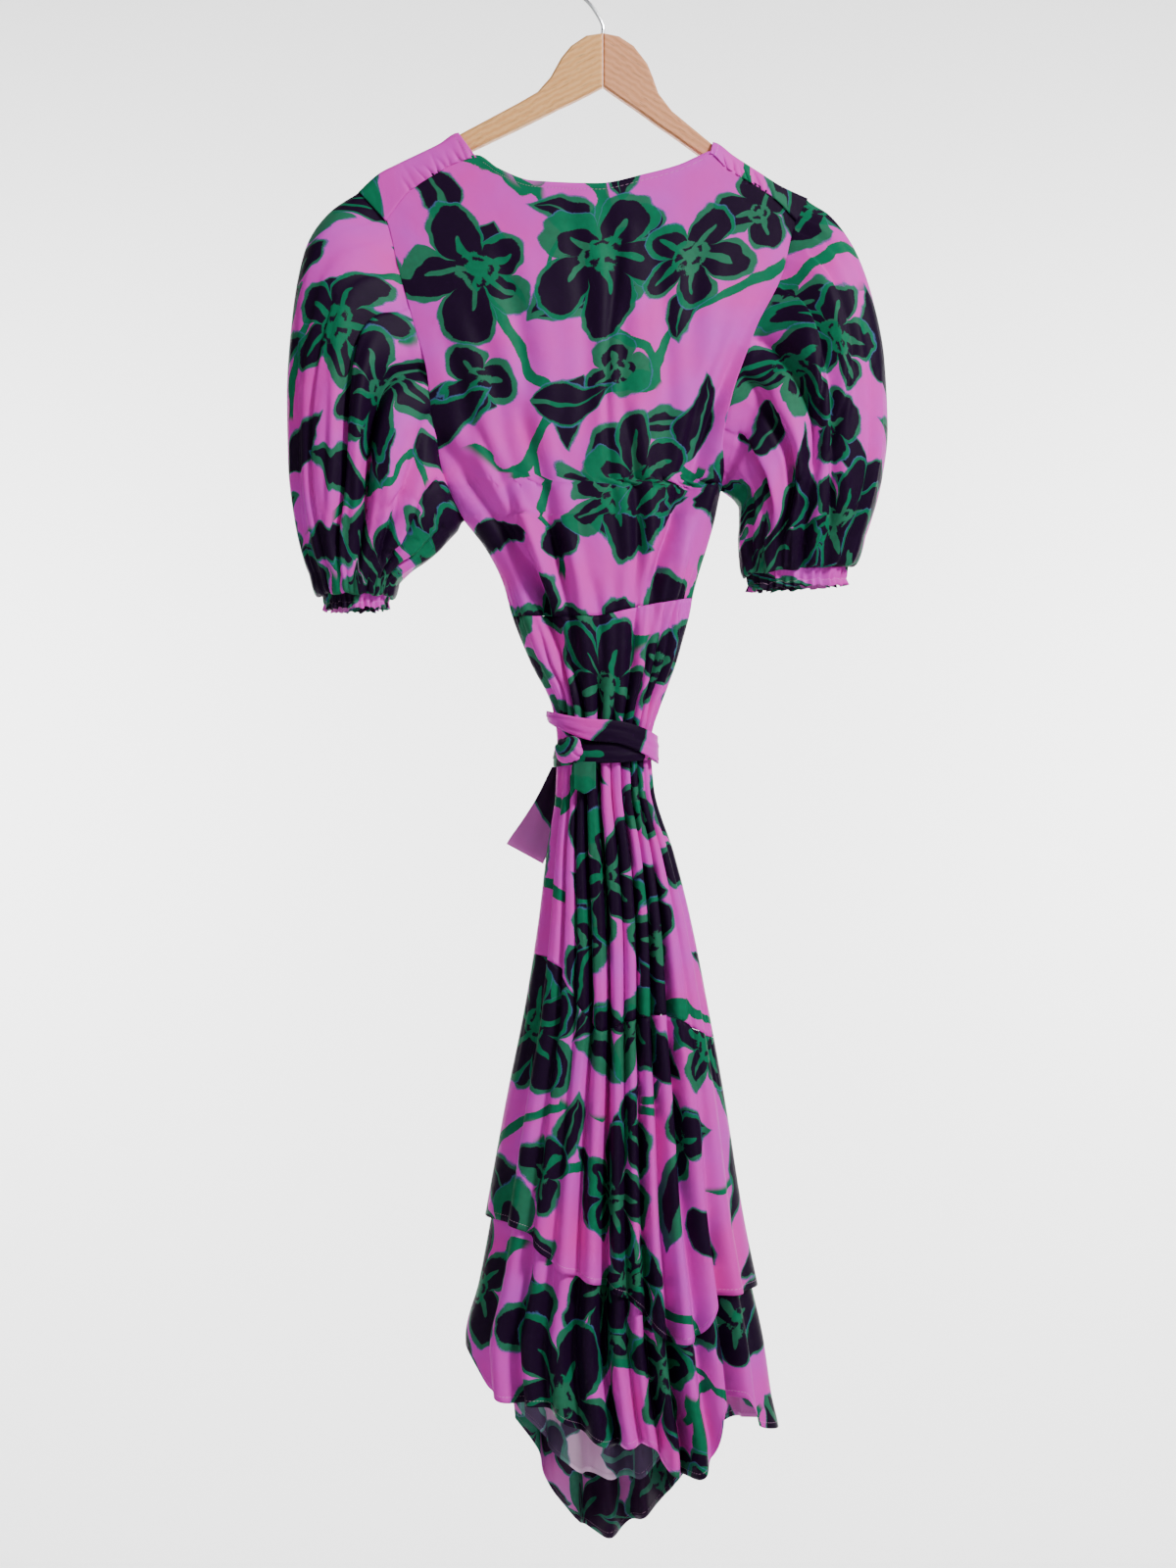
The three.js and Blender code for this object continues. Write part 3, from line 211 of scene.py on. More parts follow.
def follow_folds(side, column, z):
    column, z = np.broadcast_arrays(np.asarray(column, float), np.asarray(z, float))
    here, _ = folds_at(side, z)
    here = np.concatenate([np.zeros((1, *z.shape)), here, np.ones((1, *z.shape))])
    at_knee = folds_at(side, np.array(float(FOLD_Z["knee"])))[0]
    base = np.array([0, *[float(t) for t in at_knee], 1])
    i = np.clip(np.searchsorted(base, column, side="right") - 1, 0, len(base) - 2)
    u = unit((column - base[i]) / (base[i + 1] - base[i]))
    before = np.take_along_axis(here, i[None], 0)[0]
    after = np.take_along_axis(here, i[None] + 1, 0)[0]
    return mix(before, after, u)


def trough(side, turn, z):
    turns, deeps = folds_at(side, z)
    sharp = mix(SOFT_FOLD, SHARP_FOLD, unit(1 - np.abs(z - SHARPEST_Z) / SHARP_REACH))
    total = np.zeros(np.broadcast(turn, z).shape)
    for i in range(len(turns)):
        start = 0 if i == 0 else (turns[i - 1] + turns[i]) / 2
        end = 1 if i == len(turns) - 1 else (turns[i] + turns[i + 1]) / 2
        u = np.where(turn < turns[i], 0.5 * (turn - start) / (turns[i] - start),
                     0.5 + 0.5 * (turn - turns[i]) / (end - turns[i]))
        inside = (turn >= start) & (turn <= end)
        total = np.where(inside, deeps[i] * np.sin(np.pi * unit(u)) ** sharp, total)
    return total


print("folds", {"back": len(BACK_FOLDS), "front": len(FRONT_FOLDS)})

# %% [markdown]
# Swags are the slack creases that run from the armholes and the neck down to the belt. Each is
# a line on the bodice with a groove along it and a low ridge beside it, bowed a little as cloth
# under its own weight is.

# %% Swags of the bodice
# From x, z to x, z, depth and width
SWAGS = {
    BACK: [
        (160, -425, 22, -665, 6, 9), (99, -250, 70, -460, 2.4, 10), (85, -388, 36, -640, 3.6, 8),
        (34, -206, 24, -490, 2.2, 9), (3, -206, -8, -470, 1.8, 8), (-19, -400, -22, -625, 4.2, 5.5),
        (-42, -230, -48, -520, 2.0, 9), (-127, -352, -70, -540, 5.2, 8), (-161, -281, -78, -500, 3, 8),
        (-108, -426, -34, -640, 4.6, 7), (-63, -520, -20, -672, 4, 5.5), (55, -500, 24, -668, 5, 6),
        (98, -500, 38, -668, 3.6, 6), (-80, -453, -50, -640, 3, 5), (150, -330, 118, -480, 2.2, 9),
        (-21, -225, -19, -560, 2.4, 4), (118, -420, 52, -640, 3.4, 5), (-112, -330, -60, -600, 3, 5),
        (128, -300, 80, -520, 2.0, 10), (-92, -250, -84, -420, 1.8, 9), (70, -540, 34, -690, 3, 5),
        (-84, -560, -40, -690, 3, 4.5), (10, -560, 6, -700, 2.6, 5)],
    FRONT: [
        (150, -430, 40, -640, 4.5, 9), (-120, -400, -48, -590, 4.5, 9), (-98, -330, -10, -560, 3.5, 10),
        (-60, -470, 10, -660, 4, 7), (-134, -300, -60, -500, 2.5, 9), (120, -360, 40, -560, 2.5, 9)]}
SWAG_DEEPER = 1.65
SWAG_BOW = 0.05
RIDGE_SHARE, RIDGE_AWAY = 0.45, 2.1  # the ridge beside a groove, in its depth and width


def swag(side, x, z):
    total = np.zeros(np.broadcast(x, z).shape)
    for x0, z0, x1, z1, deep, wide in SWAGS[side]:
        run = np.array([x1 - x0, z1 - z0], float)
        share = ((x - x0) * run[0] + (z - z0) * run[1]) / run.dot(run)
        bow = SWAG_BOW * np.hypot(*run) * np.sin(np.pi * unit(share))
        off = ((x - x0) * run[1] - (z - z0) * run[0]) / np.hypot(*run) + bow * np.sign(x1 - x0)
        groove = np.exp(-((off / wide) ** 2))
        ridge = RIDGE_SHARE * np.exp(-(((off - RIDGE_AWAY * wide) / wide) ** 2))
        total += SWAG_DEEPER * deep * np.sin(np.pi * unit(share)) ** 0.7 * (groove - ridge)
    return total


print("swags", {side: len(rows) for side, rows in SWAGS.items()})

# %% [markdown]
# Where wide cloth is sewn to a shorter edge it puckers in small uneven gathers. Nobody places
# those by eye, so a seeded generator spreads them along the belt, the waist seam and the knee.

# %% Gathers
# How many, over which turns, widths, depths, height of the seam, reach above and below it
GATHER_ROWS = {
    BACK: [
        (26, (0.05, 0.95), (0.006, 0.012), (1.0, 2.6), -712, (30, 110), (40, 190)),
        (12, (0.62, 0.97), (0.007, 0.013), (1.0, 2.2), -590, (16, 46), (20, 50)),
        (5, (0.03, 0.28), (0.008, 0.014), (0.8, 1.8), -595, (16, 46), (20, 50)),
        (20, (0.05, 0.96), (0.006, 0.014), (0.7, 1.7), -962, (8, 14), (50, 150))],
    FRONT: [
        (26, (0.05, 0.95), (0.006, 0.012), (1.0, 2.4), -712, (30, 110), (40, 190)),
        (16, (0.04, 0.96), (0.007, 0.013), (0.8, 1.8), -590, (16, 46), (20, 50)),
        (18, (0.05, 0.96), (0.006, 0.014), (0.7, 1.7), -955, (8, 14), (50, 150))]}
gather_seed = np.random.default_rng(41)


def gathers(count, turns, wide, deep, peak, up, down):
    rows = []
    for i in range(count):
        place = mix(*turns, (i + gather_seed.uniform(0.1, 0.9)) / count)
        rows.append((place, gather_seed.uniform(*wide), gather_seed.uniform(*deep),
                     peak + gather_seed.uniform(-6, 6), gather_seed.uniform(*up), gather_seed.uniform(*down)))
    return rows


GATHERS = {side: [g for row in rows for g in gathers(*row)] for side, rows in GATHER_ROWS.items()}


def gather_depth(side, column, z):
    total = np.zeros(np.broadcast(column, z).shape)
    for place, wide, deep, peak, up, down in GATHERS[side]:
        reach = np.where(z > peak, unit(1 - (z - peak) / up), unit(1 - (peak - z) / down))
        total += deep * reach ** 1.3 * np.exp(-(((column - place) / wide) ** 2))
    return total


print("gathers", {side: len(rows) for side, rows in GATHERS.items()})

# %% [markdown]
# The field puts all of this together: a point on a flattened oval, sunk along its normal by the
# folds, swags and gathers. Swags and gathers fade at the side seams, so front and back meet.

# %% A point of the dress
SECTION_POWER = 0.75  # fuller than an ellipse, whose power is 1
SIDE_FADE = 0.03


def body_point(side, turn, z, inset=0, folded=True, column=None):
    turn, z = np.broadcast_arrays(np.asarray(turn, float), np.asarray(z, float))
    column = turn if column is None else np.broadcast_to(column, turn.shape)
    centre, half = middle_and_half(z)
    deep = body_back(z) if side == BACK else body_front(z)
    across, along = np.cos(np.pi * turn), np.maximum(np.sin(np.pi * turn), 0)
    normal = np.stack([across * deep, along * half])
    normal = normal / np.maximum(np.hypot(normal[0], normal[1]), 1e-9)
    sink = inset
    if folded:
        fade = unit(np.minimum(turn, 1 - turn) / SIDE_FADE)
        small = swag(side, centre + half * across, z) + gather_depth(side, column, z)
        sink = sink + trough(side, column, z) + fade * small
    x = centre + half * across - normal[0] * sink
    y = side * np.maximum(deep * along ** SECTION_POWER - normal[1] * sink, 0)
    return np.stack([x, y, z], -1)


print("middle of the back at the belt", body_point(BACK, 0.5, WAIST_Z).round(1))

# %% [markdown]
# Cloth has a right side, a wrong side and an edge. A Solidify modifier could thicken a single
# sheet, but here every point also carries its place on the pattern, so the shell maker lays two
# grids of faces and joins them at their borders. The flat coordinates are measured along the
# cloth, as a pattern cutter would, so the print is hardly stretched. Each point is also told how
# far it is from a hem.

# %% Flat coordinates and hems
def grid_normals(grid, ring):
    across = np.roll(grid, -1, 1) - np.roll(grid, 1, 1) if ring else np.gradient(grid, axis=1)
    normal = np.cross(across, np.gradient(grid, axis=0))
    return normal / np.maximum(np.linalg.norm(normal, axis=-1, keepdims=True), 1e-9)


def flat_coordinates(grid, ring, follow):
    closed = np.concatenate([grid, grid[:, :1]], 1) if ring else grid
    steps = np.linalg.norm(np.diff(closed, axis=1), axis=-1)
    middle = steps.shape[1] // 2
    own = np.concatenate([np.zeros((len(grid), 1)), np.cumsum(steps, 1)], 1)
    own = own - own[:, middle:middle + 1]
    u = mix(own, np.broadcast_to(own.mean(0, keepdims=True), own.shape), follow)
    drop = np.linalg.norm(np.diff(closed, axis=0), axis=-1)
    v = np.concatenate([np.zeros((1, closed.shape[1])), np.cumsum(drop, 0)], 0) - closed[:1, :, 2]
    return u / 1000, v / 1000, steps.sum(1) / 1000, drop.sum(0) / 1000


NECK_REACH = (-96, 112)  # x of the neckline's ends
FAR_FROM_HEM = 1.0


def hem_distance(grid, hems):
    rows, cols = grid.shape[:2]
    down = np.cumsum(np.linalg.norm(np.diff(grid, axis=0), axis=-1), 0)
    down = np.concatenate([np.zeros((1, cols)), down])
    over = np.cumsum(np.linalg.norm(np.diff(grid, axis=1), axis=-1), 1)
    over = np.concatenate([np.zeros((rows, 1)), over], 1)
    at_neck = (grid[0, :, 0] < NECK_REACH[1]) & (grid[0, :, 0] > NECK_REACH[0])
    away = {"bottom": (down[-1:] - down) / 1000, "neck": np.where(at_neck, down / 1000, FAR_FROM_HEM),
            "first": over / 1000, "last": (over[:, -1:] - over) / 1000}
    hem = np.full((rows, cols), FAR_FROM_HEM)
    for name in hems:
        hem = np.minimum(hem, away[name])
    return hem


print("points with no hem near are marked", FAR_FROM_HEM, "m away")

# %% [markdown]
# A grid of points has no faces yet. Four neighbours make one face on the right side and one,
# wound the other way, on the wrong side, and a strip of faces closes each border. Counting the
# corners out keeps the points in order, so the print and the hems find their points again.

# %% Faces of a shell
def grid_faces(rows, cols, ring):
    last = cols if ring else cols - 1
    r, c = np.meshgrid(np.arange(rows - 1), np.arange(last), indexing="ij")
    corners = [(r, c), (r, c + 1), (r + 1, c + 1), (r + 1, c)]
    return corners, np.stack([(i * cols + j % cols).ravel() for i, j in corners], 1)


def border_steps(rows, cols, ring):
    last = cols if ring else cols - 1
    steps = [((row, col), (row, col + 1)) for row in (0, rows - 1) for col in range(last)]
    if not ring:
        steps += [((row, col), (row + 1, col)) for col in (0, cols - 1) for row in range(rows - 1)]
    return steps


def shell_faces(u, v, rows, cols, ring, outward):
    corners, index = grid_faces(rows, cols, ring)
    flat = np.stack([np.stack([u[i, j], v[i, j]], -1).reshape(-1, 2) for i, j in corners], 1)
    order = [0, 3, 2, 1] if outward < 0 else [0, 1, 2, 3]
    right, right_flat = index[:, order], flat[:, order]
    count = rows * cols
    rims, rim_flat = [], []
    for start, end in border_steps(rows, cols, ring):
        p, q = (row * cols + col % cols for row, col in (start, end))
        rims.append((p, q, q + count, p + count))
        a, b = (u[start], v[start]), (u[end], v[end])
        rim_flat.append((a, b, b, a))
    faces = np.concatenate([right, right[:, ::-1] + count, np.array(rims)])
    flat = np.concatenate([right_flat.reshape(-1, 2), right_flat[:, ::-1].reshape(-1, 2),
                           np.array(rim_flat).reshape(-1, 2)])
    return faces, flat, len(right)


print("faces on one side of a sheet of 3 by 3 points", len(grid_faces(3, 3, False)[1]))

# %% [markdown]
# Here a piece of cloth comes together: its points, its print's coordinates, a material for each
# side and its distance from the hems. It is named after the solid that it replaces.

# %% Shell maker
def shell(name, grid, outward, materials, ring, place, thick, hems, follow):
    rows, cols = grid.shape[:2]
    normal = grid_normals(grid, ring)
    middle = grid - normal * (WALL / 2)
    sides = [middle + normal * outward * thick / 2, middle - normal * outward * thick / 2]
    points = np.concatenate([side.reshape(-1, 3) for side in sides]) / 1000
    u, v, widths, lengths = flat_coordinates(grid, ring, follow)
    faces, flat, one_side = shell_faces(u, v, rows, cols, ring, outward)
    mesh = bpy.data.meshes.new(name)
    mesh.from_pydata(points.tolist(), [], faces.tolist())
    mesh.update()
    layer = mesh.uv_layers.new(name="flat")
    layer.data.foreach_set("uv", (flat + np.array(place)).astype(np.float32).ravel())
    for material in materials:
        mesh.materials.append(material)
    slots = np.zeros(len(faces), np.int32)
    slots[one_side:2 * one_side] = 1
    mesh.polygons.foreach_set("material_index", slots)
    mesh.polygons.foreach_set("use_smooth", np.arange(len(faces)) < 2 * one_side)
    edge = mesh.attributes.new("hem", "FLOAT", "POINT")
    edge.data.foreach_set("value", np.tile(hem_distance(grid, hems).ravel(), 2).astype(np.float32))
    solid = bmesh.new()
    solid.from_mesh(mesh)
    bmesh.ops.recalc_face_normals(solid, faces=solid.faces)
    solid.to_mesh(mesh)
    solid.free()
    mesh.validate()
    piece = bpy.data.objects.new(name, mesh)
    bpy.context.scene.collection.objects.link(piece)
    area = sum(p.area for p in mesh.polygons if p.material_index == 1)
    return piece, float(widths.max()), float(lengths.max()), area


def cloth_piece(node, grid, outward, materials, held="hung", slot="silk", ring=False,
                place=(0, 0), thick=0.6, hems=(), follow=0.5):
    name = f"{node}_cloth"
    piece, width, length, area = shell(name, grid, outward, materials, ring, place, thick, hems, follow)
    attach(piece, "root")
    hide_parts(node)


# %% [markdown]
# On the real dress the flowers are printed on the cloth. A picture would be the easy way, but here
# they are drawn by nodes, so they are this model's own and stay sharp at any distance.
# The helper below keeps such a drawing short: each call adds one node and returns its output.

# %% Node helper
def linear(code):
    values = [int(code[i:i + 2], 16) / 255 for i in (0, 2, 4)]
    return [v / 12.92 if v <= 0.04045 else ((v + 0.055) / 1.055) ** 2.4 for v in values] + [1]


class Nodes:
    def __init__(self, name):
        self.material = bpy.data.materials.new(name)
        self.material.use_nodes = True
        self.tree = self.material.node_tree
        self.shader = self.tree.nodes["Principled BSDF"]

    def new(self, kind, **settings):
        node = self.tree.nodes.new(kind)
        for key, value in settings.items():
            setattr(node, key, value)
        return node

    def wire(self, value, socket):
        if isinstance(value, bpy.types.NodeSocket):
            self.tree.links.new(value, socket)
        elif value is not None:
            socket.default_value = value

    def set(self, node, **values):
        for name, value in values.items():
            node.inputs[name.replace("_", " ")].default_value = value
        return node

    def math(self, operation, *values, clamp=False):
        node = self.new("ShaderNodeMath", operation=operation, use_clamp=clamp)
        for value, socket in zip(values, node.inputs):
            self.wire(value, socket)
        return node.outputs[0]

    def vector(self, operation, *values):
        node = self.new("ShaderNodeVectorMath", operation=operation)
        for value, socket in zip(values, node.inputs):
            self.wire(value, socket)
        return node.outputs["Value"] if operation == "LENGTH" else node.outputs["Vector"]

    def scaled(self, vector, size):
        node = self.new("ShaderNodeVectorMath", operation="SCALE")
        self.wire(vector, node.inputs[0])
        return self.set(node, Scale=size).outputs["Vector"]

    def split(self, vector):
        node = self.new("ShaderNodeSeparateXYZ")
        self.wire(vector, node.inputs[0])
        return node.outputs

    def turned(self, vector, axis, angle):
        node = self.new("ShaderNodeVectorRotate", rotation_type=axis)
        self.wire(vector, node.inputs["Vector"])
        self.wire(angle, node.inputs["Angle"])
        return node.outputs["Vector"]

    def noise(self, vector, scale, detail=2.0, rough=0.5, colour=False):
        node = self.set(self.new("ShaderNodeTexNoise", noise_dimensions="3D"),
                        Scale=scale, Detail=detail, Roughness=rough)
        self.wire(vector, node.inputs["Vector"])
        return node.outputs["Color" if colour else "Fac"]

    def below(self, value, limit, soft=0.0004):
        node = self.set(self.new("ShaderNodeMapRange", interpolation_type="SMOOTHSTEP"),
                        From_Min=limit - soft, From_Max=limit + soft, To_Min=1, To_Max=0)
        self.wire(value, node.inputs["Value"])
        return node.outputs["Result"]

    def colour(self, factor, a, b):
        node = self.new("ShaderNodeMix", data_type="RGBA")
        self.wire(factor, node.inputs["Factor"])
        self.wire(a, node.inputs[6])
        self.wire(b, node.inputs[7])
        return node.outputs[2]

    def bump(self, height, strength, distance):
        node = self.set(self.new("ShaderNodeBump"), Strength=strength, Distance=distance)
        self.wire(height, node.inputs["Height"])
        self.wire(node.outputs[0], self.shader.inputs["Normal"])

    def cells(self, vector, size, random):
        node = self.new("ShaderNodeTexVoronoi", voronoi_dimensions="2D", feature="F1")
        place = self.scaled(vector, 1 / size)
        self.wire(place, node.inputs["Vector"])
        self.set(node, Scale=1, Randomness=random)
        local = self.scaled(self.vector("SUBTRACT", place, node.outputs["Position"]), size)
        seed = self.new("ShaderNodeSeparateColor")
        self.wire(node.outputs["Color"], seed.inputs[0])
        return local, seed.outputs[0], seed.outputs[1], seed.outputs[2]


print("a colour code as the shader reads it", [round(v, 3) for v in linear("E638BC")])

# %% [markdown]
# A blossom of the print has rounded petals that differ in length, a green outline of uneven
# breadth, a dark inside and green strokes from its heart. Each is a distance in metres from
# the middle of a scattered cell, so one function draws every flower and the three-petal buds.

# %% Blossoms
TURN = 6.283
EDGE_SOFT = 0.0011
PETAL_DIP = 0.56  # how far the outline falls back between petals
PETAL_UNEVEN = 0.13
RIM_POWER, RIM_WIDE, RIM_LEAST = 5.0, 0.34, 0.052  # green outline, in radii
SPOKE_POWER, SPOKE_LONG = 11.0, 0.58
HEART = 0.25
RING, RING_WIDE = 0.17, 0.0024


def flower_shape(n, local, turn, pick, grow, radius, petals, petal_turn):
    flat = n.split(local)
    angle = n.math("ADD", n.math("ARCTAN2", flat[1], flat[0]), n.math("MULTIPLY", turn, TURN))
    lean = n.math("SINE", n.math("MULTIPLY_ADD", grow, 30, angle))
    phase = n.math("MULTIPLY_ADD", lean, petal_turn, n.math("MULTIPLY", angle, petals / 2))
    lobe = n.math("ABSOLUTE", n.math("COSINE", phase))
    wobble = n.math("COSINE", n.math("MULTIPLY_ADD", pick, 40, angle))
    uneven = n.math("MULTIPLY_ADD", wobble, PETAL_UNEVEN, 1.0)
    petal = n.math("MULTIPLY_ADD", n.math("POWER", lobe, 0.6), PETAL_DIP, 1 - PETAL_DIP)
    big = n.math("MULTIPLY_ADD", grow, 0.3 * radius, 0.82 * radius)
    return phase, lobe, n.math("MULTIPLY", n.math("MULTIPLY", petal, uneven), big)


def flower(n, flat, size, radius, petals, ragged, chance, petal_turn=0.35):
    local, turn, pick, grow = n.cells(flat, size, 0.3)
    r = n.vector("LENGTH", local)
    phase, lobe, reach = flower_shape(n, local, turn, pick, grow, radius, petals, petal_turn)
    edge = n.math("ADD", n.math("SUBTRACT", r, reach), ragged)
    shown = n.math("LESS_THAN", pick, chance)
    whole = n.math("MULTIPLY", n.below(edge, 0.0, EDGE_SOFT), shown)
    own = n.new("ShaderNodeTexWhiteNoise", noise_dimensions="1D")
    petal = n.math("FLOOR", n.math("ADD", n.math("DIVIDE", phase, math.pi), 0.5))
    n.wire(n.math("MULTIPLY_ADD", turn, 17.3, petal), own.inputs["W"])
    breadth = n.math("POWER", own.outputs["Value"], RIM_POWER)
    rim = n.math("MULTIPLY_ADD", breadth, -RIM_WIDE * radius, -RIM_LEAST * radius)
    cleft = n.math("MULTIPLY", n.math("MULTIPLY", n.math("SUBTRACT", 1.0, lobe), r), 0.22)
    core = n.below(n.math("SUBTRACT", n.math("ADD", edge, cleft), rim), 0.0)
    spoke = n.math("SUBTRACT", r, n.math("MULTIPLY", n.math("POWER", lobe, SPOKE_POWER), SPOKE_LONG * radius))
    heart = n.math("MAXIMUM", n.below(n.math("ADD", spoke, ragged), 0.0),
                   n.below(n.math("MULTIPLY_ADD", ragged, 1.6, r), HEART * radius))
    ring = n.math("ABSOLUTE", n.math("SUBTRACT", r, n.math("MULTIPLY_ADD", ragged, 2.5, RING * radius)))
    broken = n.below(n.math("COSINE", n.math("MULTIPLY", phase, 2)), 0.4, 0.2)
    strokes = n.math("MULTIPLY", n.below(ring, RING_WIDE, 0.0006), broken)
    dark = n.math("MULTIPLY", n.math("MULTIPLY", core, shown), n.math("SUBTRACT", 1.0, heart))
    return whole, n.math("MAXIMUM", dark, n.math("MULTIPLY", strokes, shown))


print("between its petals a blossom falls back to", round(1 - PETAL_DIP, 2), "of its radius")

# %% [markdown]
# The leaves are pointed, a little bent and fuller near the stalk, and some have a green vein.
# The stems are long thin curves: the borders between the cells of a bent pattern, of which a
# slow noise lets only some grow.

# %% Leaves and stems
LEAF_RIM_POWER, LEAF_RIM_WIDE, LEAF_RIM_LEAST = 4.0, 0.5, 0.115
VEIN_WIDE, VEIN_TAPER = 0.0018, 0.0022


def leaf(n, flat, size, long, wide, ragged, chance):
    local, turn, pick, grow = n.cells(flat, size, 0.35)
    place = n.split(n.turned(local, "Z_AXIS", n.math("MULTIPLY", turn, TURN)))
    along = n.math("DIVIDE", place[0], n.math("MULTIPLY_ADD", grow, 0.4 * long, 0.75 * long))
    square = n.math("MULTIPLY", along, along)
    swell = n.math("MULTIPLY", n.math("SUBTRACT", 1.0, square), n.math("MULTIPLY_ADD", along, -0.35, 1.0))
    away = n.math("ABSOLUTE", n.math("ADD", place[1], n.math("MULTIPLY", square, 0.5 * wide)))
    edge = n.math("ADD", n.math("SUBTRACT", away, n.math("MULTIPLY", swell, wide)), ragged)
    shown = n.math("LESS_THAN", pick, chance)
    inside = n.below(n.math("ABSOLUTE", along), 1.0, 0.01)
    whole = n.math("MULTIPLY", n.math("MULTIPLY", n.below(edge, 0.0, EDGE_SOFT), shown), inside)
    breadth = n.math("POWER", n.math("FRACT", n.math("MULTIPLY", pick, 9.7)), LEAF_RIM_POWER)
    rim = n.math("MULTIPLY_ADD", breadth, -LEAF_RIM_WIDE * wide, -LEAF_RIM_LEAST * wide)
    core = n.math("MULTIPLY", n.below(n.math("SUBTRACT", edge, rim), 0.0), whole)
    vein = n.math("MULTIPLY", n.below(n.math("MULTIPLY_ADD", along, VEIN_TAPER, away), VEIN_WIDE),
                  n.below(grow, 0.4, 0.01))
    return whole, n.math("MULTIPLY", core, n.math("SUBTRACT", 1.0, vein))


def stems(n, uv, sway, ragged, size, wide, chance, shift):
    cells = n.new("ShaderNodeTexVoronoi", voronoi_dimensions="2D", feature="DISTANCE_TO_EDGE")
    bent = n.vector("ADD", n.vector("ADD", uv, n.scaled(sway, 0.13)), shift)
    n.wire(n.scaled(bent, 1 / size), cells.inputs["Vector"])
    n.set(cells, Scale=1)
    away = n.math("ADD", n.math("MULTIPLY", cells.outputs["Distance"], size), ragged)
    grown = n.noise(n.vector("ADD", uv, shift), 5.5, 1)
    return n.math("MULTIPLY", n.below(away, wide), n.below(grown, chance, 0.01))


print("the green edge of a leaf is at least", LEAF_RIM_LEAST, "of its width")

# %% [markdown]
# The ground of the silk is pink, mottled with a painted violet sheen that stands in for its
# highlights. The print lies over it, from the stems up to the largest blossoms, with a bluish
# line where two inks meet. One list drives all the motifs, so a motif is added or moved in one
# line, and noise bends them so that no two are alike.

# %% Printed ground
# Each motif: drawing, shift of its cells, cell size, its own sizes, share of cells that have one
MOTIFS = [
    (leaf, (0.31, 0.17, 0), 0.11, (0.042, 0.018), 0.88),
    (flower, (2.3, 0.9, 0), 0.135, (0.04, 3), 0.85, 0.2),
    (leaf, (1.07, 0.53, 0), 0.13, (0.051, 0.021), 0.85),
    (flower, (0.44, 1.31, 0), 0.2, (0.066, 5), 0.75),
    (flower, (0, 0, 0), 0.18, (0.068, 5), 0.95)]
SWAY_SCALE, SWAY_PULL = 9, 0.04  # a broad and a fine bend of the motifs
RIPPLE_SCALE, RIPPLE_PULL = 26, 0.022
BRUSH_SCALE, BRUSH_REACH = 560, 0.003  # how far a painted edge strays, in metres
WAVE_SCALE, WAVE_REACH = 62, 0.0084
PAINTED_SHEEN_SCALE, SHADE_SCALE = 11, 160
DEEP_GREEN = 0.7  # brightness of the darker green beside the green itself


def printed(n, uv, ground, painted_sheen, green, dark, edge):
    sway = n.vector("SUBTRACT", n.noise(uv, SWAY_SCALE, 2, colour=True), (0.5, 0.5, 0.5))
    ripple = n.vector("SUBTRACT", n.noise(uv, RIPPLE_SCALE, 2, colour=True), (0.5, 0.5, 0.5))
    bent = n.vector("ADD", uv, n.scaled(sway, SWAY_PULL))
    flat = n.vector("ADD", bent, n.scaled(ripple, RIPPLE_PULL))
    brush = n.math("MULTIPLY_ADD", n.noise(uv, BRUSH_SCALE, 3, 0.65), BRUSH_REACH, -BRUSH_REACH / 2)
    wave = n.math("MULTIPLY_ADD", n.noise(uv, WAVE_SCALE, 1), WAVE_REACH, -WAVE_REACH / 2)
    ragged = {flower: n.math("ADD", brush, wave),
              leaf: n.math("MULTIPLY_ADD", wave, 0.6, n.math("MULTIPLY", brush, 0.7))}
    stem = n.math("MAXIMUM", stems(n, uv, sway, ragged[leaf], 0.2, 0.0062, 0.53, (0, 0, 0)),
                  stems(n, uv, sway, ragged[leaf], 0.15, 0.0042, 0.4, (3.7, 1.9, 0)))
    # painted sheen: slow noise mixes violet patches into the pink in place of highlights
    painted_sheen_mask = n.math("MULTIPLY_ADD", n.noise(uv, PAINTED_SHEEN_SCALE, 3), 1.8, -0.6, clamp=True)
    deep_green = [c * DEEP_GREEN for c in linear(green)[:3]] + [1]
    shade = n.colour(n.noise(uv, SHADE_SCALE, 2), linear(green), deep_green)
    colour = n.colour(stem, n.colour(painted_sheen_mask, linear(ground), linear(painted_sheen)), shade)
    for draw, shift, size, own, chance, *more in MOTIFS:
        whole, black = draw(n, n.vector("ADD", flat, shift), size, *own, ragged[draw], chance, *more)
        colour = n.colour(n.math("MULTIPLY", whole, 0.98), colour, shade)
        half = n.math("MULTIPLY", whole, n.math("SUBTRACT", 1.0, whole))
        colour = n.colour(n.math("MULTIPLY", half, 2.6, clamp=True), colour, linear(edge))
        colour = n.colour(black, colour, linear(dark))
    return colour


print("motifs of the print", [draw.__name__ for draw, *_ in MOTIFS])

# %% [markdown]
# Thread and weave are too fine to model. The stitches are a paler dashed line beside the hem, and
# the crepe, its threads and the rolled hem are a bump height in metres. The three silks differ
# mainly in their inks, since dye reaches the wrong side paler.

# %% Stitches and weave
STITCH_AWAY, STITCH_WIDE, STITCHES_PER_METRE = 0.0055, 0.0003, 330


def stitched(n, uv, hem, colour):
    row = n.below(n.math("ABSOLUTE", n.math("SUBTRACT", hem, STITCH_AWAY)), STITCH_WIDE, 0.0001)
    along = n.split(uv)
    dash = n.math("FRACT", n.math("MULTIPLY", n.math("ADD", along[0], along[1]), STITCHES_PER_METRE))
    thread = n.math("MULTIPLY", row, n.below(dash, 0.62, 0.05))
    return n.colour(n.math("MULTIPLY", thread, 0.3), colour, linear("E9B9DC"))


